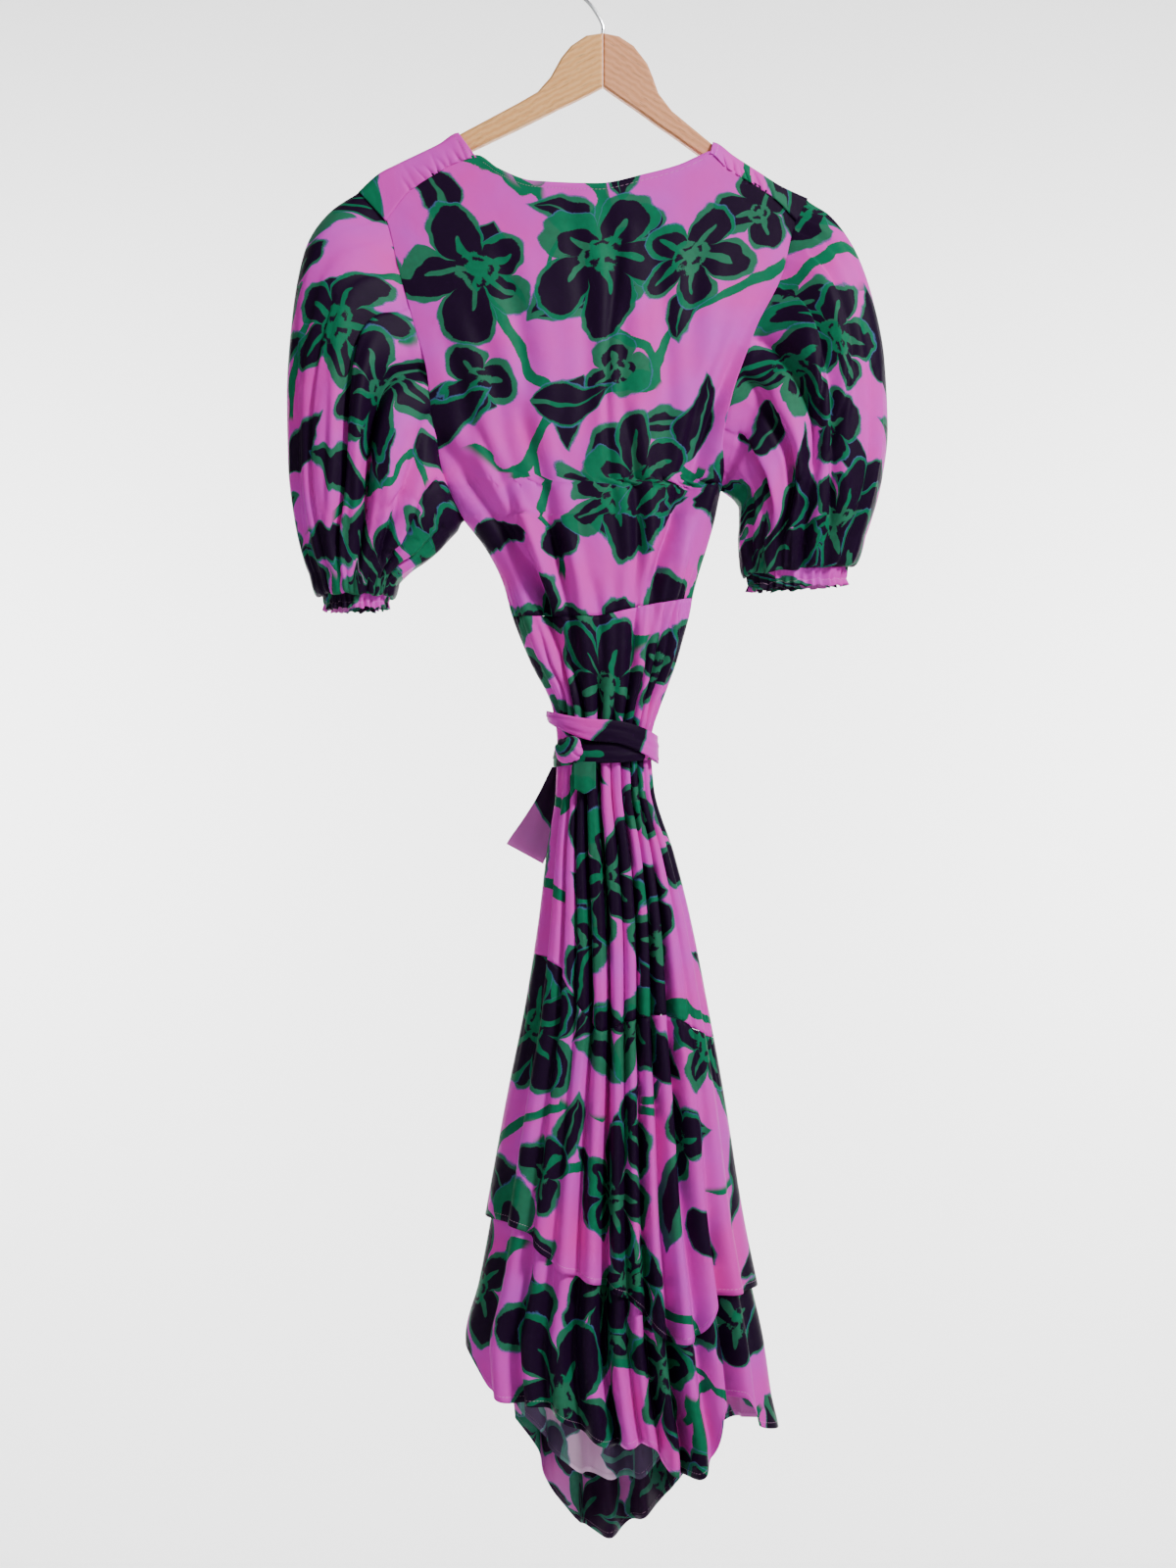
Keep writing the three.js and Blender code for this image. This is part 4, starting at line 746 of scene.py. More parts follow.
CREPE_SCALE, THREAD_SCALE, RUMPLE_SCALE = 2600, 700, 45
CREPE_HIGH, THREAD_HIGH, RUMPLE_HIGH, HEM_HIGH = 0.00012, 0.00003, 0.0013, 0.0005  # metres
CREPE_ROUGH, SILK_SHEEN = 0.16, 0.09


def silk(name, ground, painted_sheen, green, dark, edge, rough):
    n = Nodes(name)
    uv = n.new("ShaderNodeUVMap", uv_map="flat").outputs[0]
    hem = n.new("ShaderNodeAttribute", attribute_name="hem").outputs["Fac"]
    colour = printed(n, uv, ground, painted_sheen, green, dark, edge)
    n.wire(stitched(n, uv, hem, colour), n.shader.inputs["Base Color"])
    crepe = n.noise(uv, CREPE_SCALE, 2)
    threads = n.new("ShaderNodeTexWave", wave_type="BANDS", bands_direction="X")
    n.wire(uv, threads.inputs["Vector"])
    n.set(threads, Scale=THREAD_SCALE, Distortion=1.5)
    woven = n.math("MULTIPLY", threads.outputs["Fac"], THREAD_HIGH)
    fine = n.math("ADD", n.math("MULTIPLY", crepe, CREPE_HIGH), woven)
    height = n.math("ADD", fine, n.math("MULTIPLY", n.noise(uv, RUMPLE_SCALE, 3), RUMPLE_HIGH))
    rolled = n.math("MULTIPLY", n.below(hem, STITCH_AWAY, 0.0006), HEM_HIGH)
    n.bump(n.math("ADD", height, rolled), 0.6, 1.0)
    n.wire(n.math("MULTIPLY_ADD", crepe, CREPE_ROUGH, rough), n.shader.inputs["Roughness"])
    n.shader.inputs["Specular IOR Level"].default_value = SILK_SHEEN
    print(name, "nodes", len(n.tree.nodes))
    return n.material


# the second colour of each silk is its painted violet sheen
right_side = silk("silk_right", "E638BC", "CE4EDC", "0F7652", "1B0625", "4A5F9A", 0.46)
wrong_side = silk("silk_wrong", "DE68C0", "CE78D2", "2B7A60", "2E1634", "6A74A8", 0.52)
pale_side = silk("silk_wrong_pale", "F3C4E8", "EEC8F0", "5F9A8E", "554463", "8890B8", 0.58)
both = [right_side, wrong_side]

# %% [markdown]
# The skirt has three panels at each of three tiers: a narrow upper skirt and two flounces. On
# the real dress each tier is a wider strip gathered to the one above. The seams and hems dip and
# rise, so each is a table of height by share of the width.

# %% Seams and hems
HEMS = {
    BACK: {
        "waist": [(0, -597), (0.45, -598), (0.7, -590), (1, -580)],
        "knee": [(0, -905), (0.12, -912), (0.3, -952), (0.42, -972), (0.55, -964), (0.75, -958), (1, -982)],
        "upper": [(0, -1144), (0.11, -1148), (0.3, -1184), (0.46, -1199), (0.56, -1212), (0.7, -1250),
                  (0.79, -1244), (0.87, -1212), (1, -1208)],
        "lower": [(0, -1262), (0.05, -1296), (0.14, -1306), (0.22, -1306), (0.36, -1328), (0.46, -1342),
                  (0.57, -1338), (0.65, -1366), (0.72, -1370), (0.79, -1352), (0.84, -1308), (0.91, -1302),
                  (0.955, -1330), (1, -1338)],
    },
    FRONT: {
        "waist": [(0, -597), (1, -580)],
        "knee": [(0, -905), (0.5, -950), (1, -982)],
        "upper": [(0, -1144), (0.25, -1200), (0.5, -1240), (0.75, -1228), (1, -1208)],
        "lower": [(0, -1262), (0.12, -1340), (0.25, -1420), (0.33, -1448), (0.42, -1461), (0.52, -1446),
                  (0.62, -1426), (0.72, -1392), (0.86, -1345), (1, -1338)],
        "under": [(0, -1262), (0.12, -1336), (0.25, -1382), (0.36, -1398), (0.5, -1402), (0.68, -1376),
                  (1, -1340)],
    },
}
HEM_LINES = {side: {name: line(*zip(*rows)) for name, rows in table.items()} for side, table in HEMS.items()}


def height_on(hem, side, column):
    z = hem(share_of_turn(column))
    for _ in range(3):
        z = hem(share_of_turn(follow_folds(side, column, z)))
    return z


lowest = min(z for table in HEMS.values() for rows in table.values() for _, z in rows)
print("seams and hems", sum(len(table) for table in HEMS.values()), "lowest", lowest)

# %% [markdown]
# The under wrap hangs inside the outer one, and the lower flounce inside the upper one, with its
# top tucked under. Cloth could be kept apart by a collision step, but fixed distances do it at
# once. The under wrap's distance runs to nothing at its side seam, where it meets the back.

# %% Panels
PANELS = {  # side, from turn, to turn, columns, rows of the skirt
    "back": (BACK, 0.0, 1.0, 260, 100),
    "front_right": (FRONT, 0.235, 1.0, 160, 70),
    "front_left": (FRONT, 0.0, 0.62, 100, 70),
}
UNDER_WRAP = "front_left"
FREE_EDGE = {"back": (), "front_right": ("first",), "front_left": ("last",)}
WRAP_INSET = 5
TIER_TUCK = 45
TIER_START, TIER_INSET = 2.8, 6  # inset of the lower flounce at its tucked top and below
KNEE_GAP = 0.5


def under_inset(panel, turn, amount):
    return amount * unit((turn - 0.05) / 0.16) if panel == UNDER_WRAP else 0


def panel_grid(panel, tier, rows):
    side, start, end, columns, _ = PANELS[panel]
    column = np.linspace(start, end, columns)
    hem = {name: height_on(at, side, column) for name, at in HEM_LINES[side].items()}
    lower = hem["under"] if panel == UNDER_WRAP else hem["lower"]
    edges = {
        "skirt": (hem["waist"], hem["knee"] + KNEE_GAP),
        "flounce_upper": (hem["knee"], hem["upper"]),
        "flounce_lower": (hem["upper"] + TIER_TUCK, lower),
    }
    top, bottom = edges[tier]
    z = mix(top, bottom, np.linspace(0, 1, rows)[:, None])
    turn = follow_folds(side, column, z)
    inset = under_inset(panel, turn, WRAP_INSET if tier == "skirt" else WRAP_INSET + 2 * TIER_INSET)
    if tier == "flounce_lower":
        inset = inset + mix(TIER_START, TIER_INSET, unit((top - z) / TIER_TUCK))
    return body_point(side, turn, z, inset, column=turn)


print("columns of the panels", {name: row[3] for name, row in PANELS.items()})

# %% [markdown]
# Nine strips make the skirt. They differ only in their table rows, so one loop makes them all.
# Only the under wrap's lowest strip shows its wrong side, below the back hem, and gets the pale
# silk there.

# %% Skirt and flounces
# Each tier: share of the skirt's rows, place on the print, whether its lower edge is a hem
TIERS = {"skirt": (3, (0.2, 0.1), ()), "flounce_upper": (2, (0.55, 0.33), ("bottom",)),
         "flounce_lower": (2, (0.83, 0.71), ("bottom",))}
for number, (panel, (side, _, _, _, rows)) in enumerate(PANELS.items()):
    for tier, (thirds, (across, down), edge) in TIERS.items():
        pale = panel == UNDER_WRAP and tier == "flounce_lower"
        cloth_piece(f"{tier}_{panel}", panel_grid(panel, tier, rows * thirds // 3), -side,
                    [right_side, pale_side if pale else wrong_side], held="gathered",
                    place=(across + number, down), hems=(*edge, *FREE_EDGE[panel]), follow=0.6)

# %% [markdown]
# The bodice lies on the hanger's arms. The round neck, the shoulder seams and the armholes are
# curves on the body's field, read from the photograph. The fronts come over the shoulder to a
# back seam, which is why a gathered strip of them shows from behind. How they cross is a guess,
# since the photograph shows only the back.

# %% Bodice tables
ARMHOLE = {
    LEFT: [(-208, 224), (-233, 198), (-277, 187), (-327, 173), (-376, 160), (-432, 154), (-462, 149),
           (-485, 140), (-506, 127.5)],
    RIGHT: [(-213, -188), (-233, -177), (-287, -163), (-332, -141), (-361, -130), (-398, -117),
            (-440, -107), (-476, -105)],
}
armhole = {hand: line(*zip(*rows)) for hand, rows in ARMHOLE.items()}
crest = line(*zip((226, -209), (205, -190), (189, -181.7), (150, -162.8), (133, -152.9), (-101, -161.5),
                  (-120.6, -174.5), (-143, -188.9), (-163, -201.5), (-190, -214)))
back_top = line(*zip((198, -233), (179, -208), (168, -199.7), (152, -189.8), (133, -180), (115, -175.4),
                     (94.5, -188), (64, -199), (5, -201.5), (-40, -192.5), (-69, -184.4), (-89, -175.5),
                     (-98, -172), (-112, -184), (-143, -203), (-160, -215), (-177, -233)))
WRAP_EDGE = {
    RIGHT: line(*zip((-161.5, -101), (-230, -92), (-300, -70), (-370, -36), (-440, 6), (-520, 42),
                     (-600, 58))),
    LEFT: line(*zip((-152.9, 133), (-230, 119), (-300, 92), (-370, 52), (-440, 8), (-520, -34),
                    (-600, -50))),
}
SHOULDER_Z = -233
BACK_TOP_REACH = (198, -177)
print("neck is", round(float(back_top(-98) - back_top(5)), 1), "deep at the back")

# %% [markdown]
# Over the wooden arms the cloth can't sink in: it stands off their middle plane by 7 to 9 mm.
# Below the armhole a piece ends at the side seam, above it at the armhole's edge.

# %% Over the arms
ARM_DROPS, ARM_DEPTHS = [0, 1.4, 8, 30, 60, 60.001], [0, 7, 7.9, 8.6, 9, 0]


def off_arm(drop):
    return np.interp(drop, ARM_DROPS, ARM_DEPTHS)


def over_arm(points, side):
    least = off_arm(np.maximum(crest(points[..., 0]) - points[..., 2], 0))
    y = points[..., 1]
    out = points.copy()
    out[..., 1] = np.where(np.abs(y) < least, side * least, y)
    return out


def border(hand, z):
    edge = turn_of_x(armhole[hand](z), z)
    return unit(np.where(z > ARMHOLE[hand][-1][0], edge, 0 if hand == LEFT else 1))


print("the cloth stands", off_arm(ARM_DROPS[3]), "off the arm's middle", ARM_DROPS[3], "below its crest")

# %% [markdown]
# The back is one piece from the neck to the waist. A boolean could cut it out of the body, but its
# edge would cross the grid, so its rows run from armhole to armhole instead. At the top they are
# shared out over the straight width, and over the upper third they change to the turn.

# %% Back bodice
def back_bodice(columns=250, rows=112):
    column = np.linspace(0, 1, columns)
    level = np.linspace(0, 1, rows)[:, None]
    share = follow_folds(BACK, column, np.full_like(column, float(SHOULDER_Z)))
    top = back_top(mix(*BACK_TOP_REACH, share_of_turn(share)))
    z = mix(top, height_on(HEM_LINES[BACK]["waist"], BACK, column) + SEAM, level)
    low = np.minimum(z, SHOULDER_Z)
    left, right = border(LEFT, low), border(RIGHT, low)
    spread = body_x(mix(left, right, share), low)
    x = mix(mix(body_x(left, low), body_x(right, low), share_of_turn(share)), spread, unit(level * 3))
    return over_arm(body_point(BACK, turn_of_x(x, z), z, column=np.broadcast_to(share, z.shape)), BACK)


cloth_piece("bodice_back", back_bodice(), -1, both, place=(3.36, 0.63), hems=("neck",), follow=0.35)

# %% [markdown]
# Each front begins at the gathered seam behind the shoulder, turns over the crest of the arm and
# falls to the waist. Its upper part is a list of rows from edge to edge, as a maker would fold
# it over, and the rest is the body's field between the armhole and the wrap's edge.

# %% Gathered strip behind the shoulder
SEAM_DROP, SEAM_LIFT = 2.6, 0.9
NECK_ENDS = {LEFT: (133, 115), RIGHT: (-101, -98)}  # x at the crest and at the back seam
STRIP_ROWS = 12
FIRST_DROP = 1.4
PULLS = np.arange(0.28, 0.97, 0.075)  # shares of the seam where the strip is drawn in
PULL_SEED, PULL_STRAY = 19, 0.03
PULL_LIMITS = ((0.7, 3.0), (0.5, 1.3), (0.011, 0.024), (0.03, 0.17))  # depth, reach, width, slant
PULL_LIFT = 0.03  # of its depth, so that the strip as a whole doesn't sink


def pulled(strip, hand, shares):
    local = np.random.default_rng(PULL_SEED + hand)
    pulls = []
    for share in PULLS:
        at = share + local.uniform(-PULL_STRAY, PULL_STRAY)
        pulls.append((at, *[local.uniform(*limits) for limits in PULL_LIMITS]))
    last = STRIP_ROWS - 1
    for k, row in enumerate(strip):
        for share, deep, reach, wide, slant in pulls:
            fade = unit(1 - k / last / reach)
            groove = np.exp(-(((shares - share - slant * k / last) / wide) ** 2))
            row[:, 1] -= deep * fade * groove - PULL_LIFT * deep
    return strip


def over_the_crest(hand, shares):
    rows_of = ARMHOLE[hand]
    neck_crest, neck_seam = NECK_ENDS[hand]
    seam_x = mix(rows_of[1][1], neck_seam, shares)
    seam_z = back_top(seam_x) - SEAM_DROP
    seam_row = over_arm(body_point(BACK, turn_of_x(seam_x, seam_z), seam_z), BACK)
    seam_row[:, 1] += SEAM_LIFT
    crest_x = mix(rows_of[0][1], neck_crest, shares)
    crest_z = crest(crest_x)
    crest_row = np.stack([crest_x, 0 * crest_x, crest_z], -1)

    def round_row(side, drop):
        to_seam = unit(drop / (crest_z - seam_row[:, 2])) if side == BACK else 0 * crest_z
        arm_x = armhole[hand](np.full_like(crest_z, rows_of[0][0] - drop))
        x = mix(arm_x, mix(neck_crest, neck_seam, to_seam), shares)
        return np.stack([x, np.full_like(x, side * float(off_arm(drop))), crest_z - drop], -1)

    behind, before = round_row(BACK, FIRST_DROP), round_row(FRONT, FIRST_DROP)
    strip = [mix(seam_row, behind, u) for u in np.linspace(0, 1, STRIP_ROWS)[:-1]]
    turned = [mix(behind, crest_row, u) for u in (0, 0.35, 0.7)] + [crest_row]
    turned += [mix(crest_row, before, u) for u in (0.3, 0.65, 1)] + [round_row(FRONT, d) for d in (4, 8)]
    return pulled(strip, hand, shares) + turned, crest_z


print("places where each strip is drawn in", len(PULLS))

# %% [markdown]
# Below the strip the front hangs from the crest to the waist, between the armhole and the wrap's
# edge. Both fronts come from one function, and the left one, the under wrap, is set further in
# where the two cross.

# %% Front bodices
FIELD_START = 16  # below the crest


def front_bodice(hand, columns=104, rows=84):
    shares = np.linspace(0, 1, columns)
    upper, crest_z = over_the_crest(hand, shares)
    waist = HEM_LINES[FRONT]["waist"]
    z = np.full_like(shares, float(waist(0.5)))
    for _ in range(3):
        z = waist(share_of_turn(mix(border(hand, z), turn_of_x(WRAP_EDGE[hand](z), z), shares)))
    level = np.linspace(0, 1, rows)[:, None]
    z = mix(crest_z - FIELD_START, z + SEAM, level)
    edge_x = WRAP_EDGE[hand](z)
    spread = body_x(mix(border(hand, z), turn_of_x(edge_x, z), shares), z)
    straight = mix(body_x(border(hand, z), z), edge_x, shares)
    turn = turn_of_x(mix(straight, spread, unit(level * 2.5)), z)
    under = WRAP_INSET * unit((turn - 0.1) / 0.14) * unit((-280 - z) / 60)
    field = over_arm(body_point(FRONT, turn, z, under if hand == LEFT else 0), FRONT)
    grid = np.concatenate([np.stack(upper), field])
    return grid[:, ::-1] if hand == LEFT else grid


FRONTS = ((RIGHT, "right", (2.75, 2.235), "last"), (LEFT, "left", (2.3, 2.225), "first"))
for hand, label, place, edge in FRONTS:
    cloth_piece(f"bodice_front_{label}", front_bodice(hand), -1, both, place=place, hems=(edge,), follow=0.35)

# %% [markdown]
# A puffed sleeve is a wide tube gathered small at its head and at the cuff, so it swells between
# them. It is built as rings that fan round the underarm, because stacked level rings would miss
# its slant. Angle 0 is the outer side, the back comes next and 180 is the underarm.

# %% Sleeve tables
SLEEVE = {  # outer x, z, inner x, z and depth of each ring below the armhole
    LEFT: [(247, -223, 130.5, -511, 32), (271, -256, 133, -517, 42), (284, -320, 141, -526, 49),
           (289, -392, 150, -536, 52), (288, -456, 162, -546, 52), (282.5, -506, 174, -554, 50),
           (272, -550, 184, -563, 48), (260, -574, 192, -572, 42)],
    RIGHT: [(-208, -227, -107.5, -481, 26), (-231, -258, -113, -485, 40), (-248, -304, -120, -491, 47),
            (-259, -362, -124, -499, 50), (-262, -425, -124, -512, 50), (-257, -470, -123, -526, 48),
            (-246, -512, -123, -541, 42), (-230, -550, -126, -556, 30)],
}
SLEEVE_FOLDS = [  # angle, depth at the head, middle and cuff
    (16, 3, 1, 2), (41, 6, 5, 5), (63, 3, 3, 3), (88, 8, 12, 6), (116, 3, 5, 3), (139, 1, 9, 5),
    (198, 2, 3, 3), (226, 5, 10, 5), (259, 4, 4, 3), (281, 7, 9, 6), (314, 4, 3, 3), (336, 5, 2, 3)]
SLEEVE_CREASES = {  # angle at the head and at the cuff, from and to along the sleeve, depth, width
    LEFT: [(72, 82, 0.0, 0.97, 8, 4.2), (96, 103, 0.0, 0.92, 12, 4.6), (118, 127, 0.03, 0.82, 7, 3.6),
           (50, 60, 0.25, 1.0, 3.5, 4), (28, 37, 0.4, 1.0, 3, 4.5), (140, 134, 0.2, 0.92, 6, 3.6),
           (160, 148, 0.35, 1.0, 4, 4), (132, 108, 0.4, 0.62, 2.4, 3), (146, 118, 0.55, 0.8, 2.6, 3.2),
           (240, 248, 0.0, 0.9, 8, 4.6), (264, 272, 0.05, 1.0, 9, 4.6), (290, 284, 0.0, 0.95, 6, 4.2),
           (320, 312, 0.35, 1.0, 3.5, 4.5), (214, 226, 0.3, 1.0, 5, 4.2)],
    RIGHT: [(66, 80, 0.0, 0.95, 6, 4.4), (88, 98, 0.0, 0.72, 5, 3.8), (112, 118, 0.0, 0.95, 10, 4.6),
            (136, 130, 0.1, 0.9, 8, 4), (46, 58, 0.1, 0.55, 3.5, 4), (34, 48, 0.5, 1.0, 4, 4.2),
            (78, 66, 0.62, 1.0, 5, 4), (104, 92, 0.6, 1.0, 4.6, 3.8), (158, 146, 0.35, 1.0, 4, 4),
            (70, 96, 0.3, 0.5, 2.2, 3), (58, 84, 0.42, 0.62, 2.2, 3),
            (236, 246, 0.0, 0.9, 7, 4.6), (262, 270, 0.05, 1.0, 8, 4.6), (292, 284, 0.0, 0.95, 6, 4.2),
            (318, 310, 0.4, 1.0, 4, 4.5), (212, 224, 0.3, 1.0, 5, 4.2)],
}
print("sleeve creases", {hand: len(rows) for hand, rows in SLEEVE_CREASES.items()})

# %% [markdown]
# The first ring follows the armhole and lies just inside the bodice's edge, as the seam does.
# The others are flattened rings from the table, each on its own slant. The same smooth line that
# joins the rows of the body's table joins them, so the puff has no corner at a ring.

# %% Sleeve rings
ARMHOLE_GAP, ARMHOLE_INSET = 1.6, 1.3  # the sleeve's head lies just inside the bodice's edge
RING_POWER = 0.8


def armhole_loop(hand, angle):
    rows = ARMHOLE[hand]
    share = angle / 360
    z = mix(rows[0][0], rows[-1][0], (1 - np.cos(2 * np.pi * share)) / 2)
    x = armhole[hand](z)
    back, front = (over_arm(body_point(side, turn_of_x(x, z), z, 0, False), side) for side in (BACK, FRONT))
    return np.where((share < 0.5)[:, None], back, front)


def sleeve_rings(hand, angle):
    head = armhole_loop(hand, angle)
    head[:, 0] -= hand * ARMHOLE_GAP
    head[:, 1] -= np.sign(head[:, 1]) * ARMHOLE_INSET
    across, around = np.cos(np.radians(angle)), np.sin(np.radians(angle))
    rounded = np.sign(around) * np.abs(around) ** RING_POWER
    stops = [head]
    for out_x, out_z, in_x, in_z, deep in SLEEVE[hand]:
        stops.append(np.stack([(out_x + in_x) / 2 + (out_x - in_x) / 2 * across, deep * rounded,
                               (out_z + in_z) / 2 + (out_z - in_z) / 2 * across], -1))
    return stops


print("rings of a sleeve", 1 + len(SLEEVE[LEFT]))

# %% [markdown]
# Three kinds of fold cross a sleeve. Broad ones divide the puff. Sharp creases fall away steeply
# on the side towards the body and gently on the other, as soft cloth does where it laps. Fine
# gathers run a short way from the head and from the cuff.

# %% Sleeve folds
BROAD_DEEPER, CREASE_DEEPER = 0.6, 1.4
STEEP, GENTLE = 0.34, 1.25  # the two sides of a crease, in its width
SIDE_RIDGE, SIDE_AWAY = 0.3, 2.4  # the ridges beside it, in its depth and width
CREASE_SWAY = 3  # degrees that it wanders from its line
SLEEVE_GATHERS = 84
HEAD_GATHER_SHARE = 0.45


def apart(angle, at):
    return (angle - at + 180) % 360 - 180


def broad_folds(angle, down):
    sink = np.zeros((len(down), len(angle)))
    for i, (at, head_deep, middle, cuff) in enumerate(SLEEVE_FOLDS):
        before = SLEEVE_FOLDS[i - 1][0] - (360 if i == 0 else 0)
        after = SLEEVE_FOLDS[(i + 1) % len(SLEEVE_FOLDS)][0] + (360 if i == len(SLEEVE_FOLDS) - 1 else 0)
        away = apart(angle, at) + 4 * np.sin(3 * down + i)
        half = np.where(away < 0, (at - before) / 2, (after - at) / 2)
        deep = np.where(down < 0.5, mix(head_deep, middle, down * 2), mix(middle, cuff, down * 2 - 1))
        round_in = np.cos(np.pi / 2 * unit(np.abs(away) / half)) ** 2.4
        sink += BROAD_DEEPER * deep * round_in * unit(down / 0.06)
    return sink


def creases(hand, angle, down):
    sink = np.zeros((len(down), len(angle)))
    for high, low, start, end, deep, wide in SLEEVE_CREASES[hand]:
        share = (down - start) / (end - start)
        away = apart(angle, mix(high, low, unit(share)) + CREASE_SWAY * np.sin(9 * down + high))
        within = (share < 1) * (share > 0)
        fade = np.sin(np.pi * unit(mix(0.12, 1, share))) ** 0.8 * within * unit(down / 0.03)
        steep = np.where(away * (1 if high < 180 else -1) > 0, STEEP * wide, GENTLE * wide)
        ridges = SIDE_RIDGE * np.exp(-(((np.abs(away) - SIDE_AWAY * wide) / wide) ** 2))
        sink += CREASE_DEEPER * deep * fade * (np.exp(-((away / steep) ** 2)) - ridges)
    return sink


def fine_gathers(hand, angle, down):
    sink = np.zeros((len(down), len(angle)))
    local = np.random.default_rng(5 + hand)
    for _ in range(SLEEVE_GATHERS):
        at, wide = local.uniform(0, 360), local.uniform(1.8, 3.2)
        deep = local.uniform(1.4, 3.4)
        if local.uniform() < HEAD_GATHER_SHARE:
            reach = unit(1 - down / local.uniform(0.08, 0.28)) * unit(down / 0.02)
        else:
            reach = unit(1 - (1 - down) / local.uniform(0.06, 0.26))
        sink += deep * reach ** 1.2 * np.exp(-((apart(angle, at) / wide) ** 2))
    return sink


print("broad folds and gathers of a sleeve", len(SLEEVE_FOLDS), SLEEVE_GATHERS)

# %% [markdown]
# The end of the puff hangs in a round over the cuff and turns back up into the cuff's seam. The
# ring's joint, where the print is cut, is moved to the underarm, out of sight.

# %% Sleeves
MOST_SUNK = 0.45  # of the way to the sleeve's middle
ROLL_START = 0.91
ROLL_IN, ROLL_DROP, ROLL_UNEVEN = 0.1, 9.5, 1.2


def sleeve_grid(hand, count=340, rows=100):
    angle = np.linspace(0, 360, count, endpoint=False)
    stops = sleeve_rings(hand, angle)
    ts = np.linspace(0, 1, len(stops))
    t = np.linspace(0, 1, rows)
    down = t[:, None]
    grid = line(ts, np.array(stops))(t)
    sink = broad_folds(angle, down) + creases(hand, angle, down) + fine_gathers(hand, angle, down)
    centre = line(ts, np.array([s.mean(0) for s in stops]))(t)[:, None]
    toward = centre - grid
    far = np.linalg.norm(toward, axis=-1, keepdims=True)
    grid = grid + toward / far * np.minimum(sink[..., None], far * MOST_SUNK)
    roll = unit((down - ROLL_START) / (1 - ROLL_START))
    grid = grid + (centre - grid) * (ROLL_IN * roll ** 2)[..., None]
    grid[..., 2] -= np.sin(np.pi * roll) * (ROLL_DROP + ROLL_UNEVEN * np.sin(np.radians(angle) * 11 + 2))
    return np.roll(grid, count // 2, axis=1)


for hand, label in ((LEFT, "left"), (RIGHT, "right")):
    cloth_piece(f"sleeve_{label}", sleeve_grid(hand), -hand, both, held="gathered", ring=True,
                place=(5.9 + hand, 0.15), follow=0.35)

# %% [markdown]
# A cuff is a narrow band over elastic, so its cloth crinkles in small uneven waves, more at the
# free edge than at the seam. Three sines that don't share a rhythm give that without a pattern
# that repeats.

# %% Cuffs
CUFF_LEVELS = [0, 0.45, 1]
CUFF_DROP, CUFF_CRINKLE = [0.6, 9, 17], [1.0, 2.4, 3.2]
CUFF_SIZE_LEVELS, CUFF_SIZE = [0, 0.45, 0.6, 1], [0.88, 0.82, 0.8, 0.83]


def cuff_grid(hand, count=300, rows=16):
    out_x, out_z, in_x, in_z, deep = SLEEVE[hand][-1]
    t = np.linspace(0, 1, rows)[:, None]
    radians = np.linspace(0, 2 * np.pi, count, endpoint=False)
    waves = (0.35 * np.cos(7 * radians + 1) + 0.45 * np.cos(19 * radians + 1.5 * np.sin(2 * radians))
             + 0.6 * np.cos(33 * radians + 2 * np.sin(radians)))
    crinkle = 1 + np.interp(t, CUFF_LEVELS, CUFF_CRINKLE) / deep * waves
    size = np.interp(t, CUFF_SIZE_LEVELS, CUFF_SIZE) * crinkle
    x = (out_x + in_x) / 2 + (out_x - in_x) / 2 * np.cos(radians) * size
    y = deep * np.sin(radians) * size
    edge = np.maximum(t - 0.5, 0) * (1.3 * np.sin(13 * radians) + 1.5 * np.sin(29 * radians + 1))
    level = (out_z + in_z) / 2 + (out_z - in_z) / 2 * np.cos(radians) - SEAM
    z = level - np.interp(t, CUFF_LEVELS, CUFF_DROP) + edge
    return np.roll(np.stack(np.broadcast_arrays(x, y, z), -1), count // 2, axis=1)


for hand, label in ((LEFT, "left"), (RIGHT, "right")):
    cloth_piece(f"cuff_{label}", cuff_grid(hand), -hand, both, held="gathered", ring=True,
                place=(7.9 + hand, 0.45), hems=("bottom",), follow=0.35)

# %% [markdown]
# The belt is a folded strip of the same silk. It goes round twice, and a twist in the second pass
# makes it narrow at one place. Each pass is a closed band that hugs the body's field, with its
# height and width given at four quarters of the way round.

# %% Belt passes
BELT_UNDER = [(-727, 15), (-722, 18), (-718, 17), (-722, 18)]
BELT_OVER = [(-688, 10), (-702, 20), (-719, 25), (-703, 18)]
BELT_THICK = 2
BELT_OFF, BELT_LAYER_GAP, BELT_BELLY = 0.6, 0.6, 0.8


def belt_grid(quarters, layer, count=200, rows=12):
    out = BELT_OFF + BELT_THICK + layer * (BELT_THICK + BELT_BELLY + BELT_LAYER_GAP)
    quarter = np.arange(count) * 4 / count
    i = quarter.astype(int) % 4
    u = quarter % 1
    table = np.array(quarters, float)
    z0, wide = mix(table[i], table[(i + 1) % 4], (u * u * (3 - 2 * u))[:, None]).T
    share = np.linspace(0.5, -0.5, rows)[:, None]
    z = z0 + share * wide
    crumple = 0.35 * np.sin(share * 14 + quarter * 3) + 0.3 * np.sin(share * 25 - quarter * 5 + layer)
    inset = -out - (BELT_BELLY + crumple) * np.cos(np.pi * share)
    back = body_point(BACK, np.broadcast_to(quarter / 2, z.shape), z, inset, False)
    front = body_point(FRONT, np.broadcast_to(np.maximum(2 - quarter / 2, 0), z.shape), z, inset, False)
    return np.where((quarter < 2)[None, :, None], back, front)


belt = {"slot": "belt_silk", "held": "folded"}
PASSES = (("under", BELT_UNDER, (2.132, -0.154)), ("over", BELT_OVER, (0.845, 0.846)))
for layer, (label, quarters, place) in enumerate(PASSES):
    cloth_piece(f"belt_{label}", belt_grid(quarters, layer), -1, both, ring=True, place=place,
                thick=1.0, **belt)

# %% [markdown]
# Of the bow only a short pointed tail and one flat loop show. The tail is a scrap of the band
# beside the knot. The loop is a strip led out, turned over and back again, row by row.

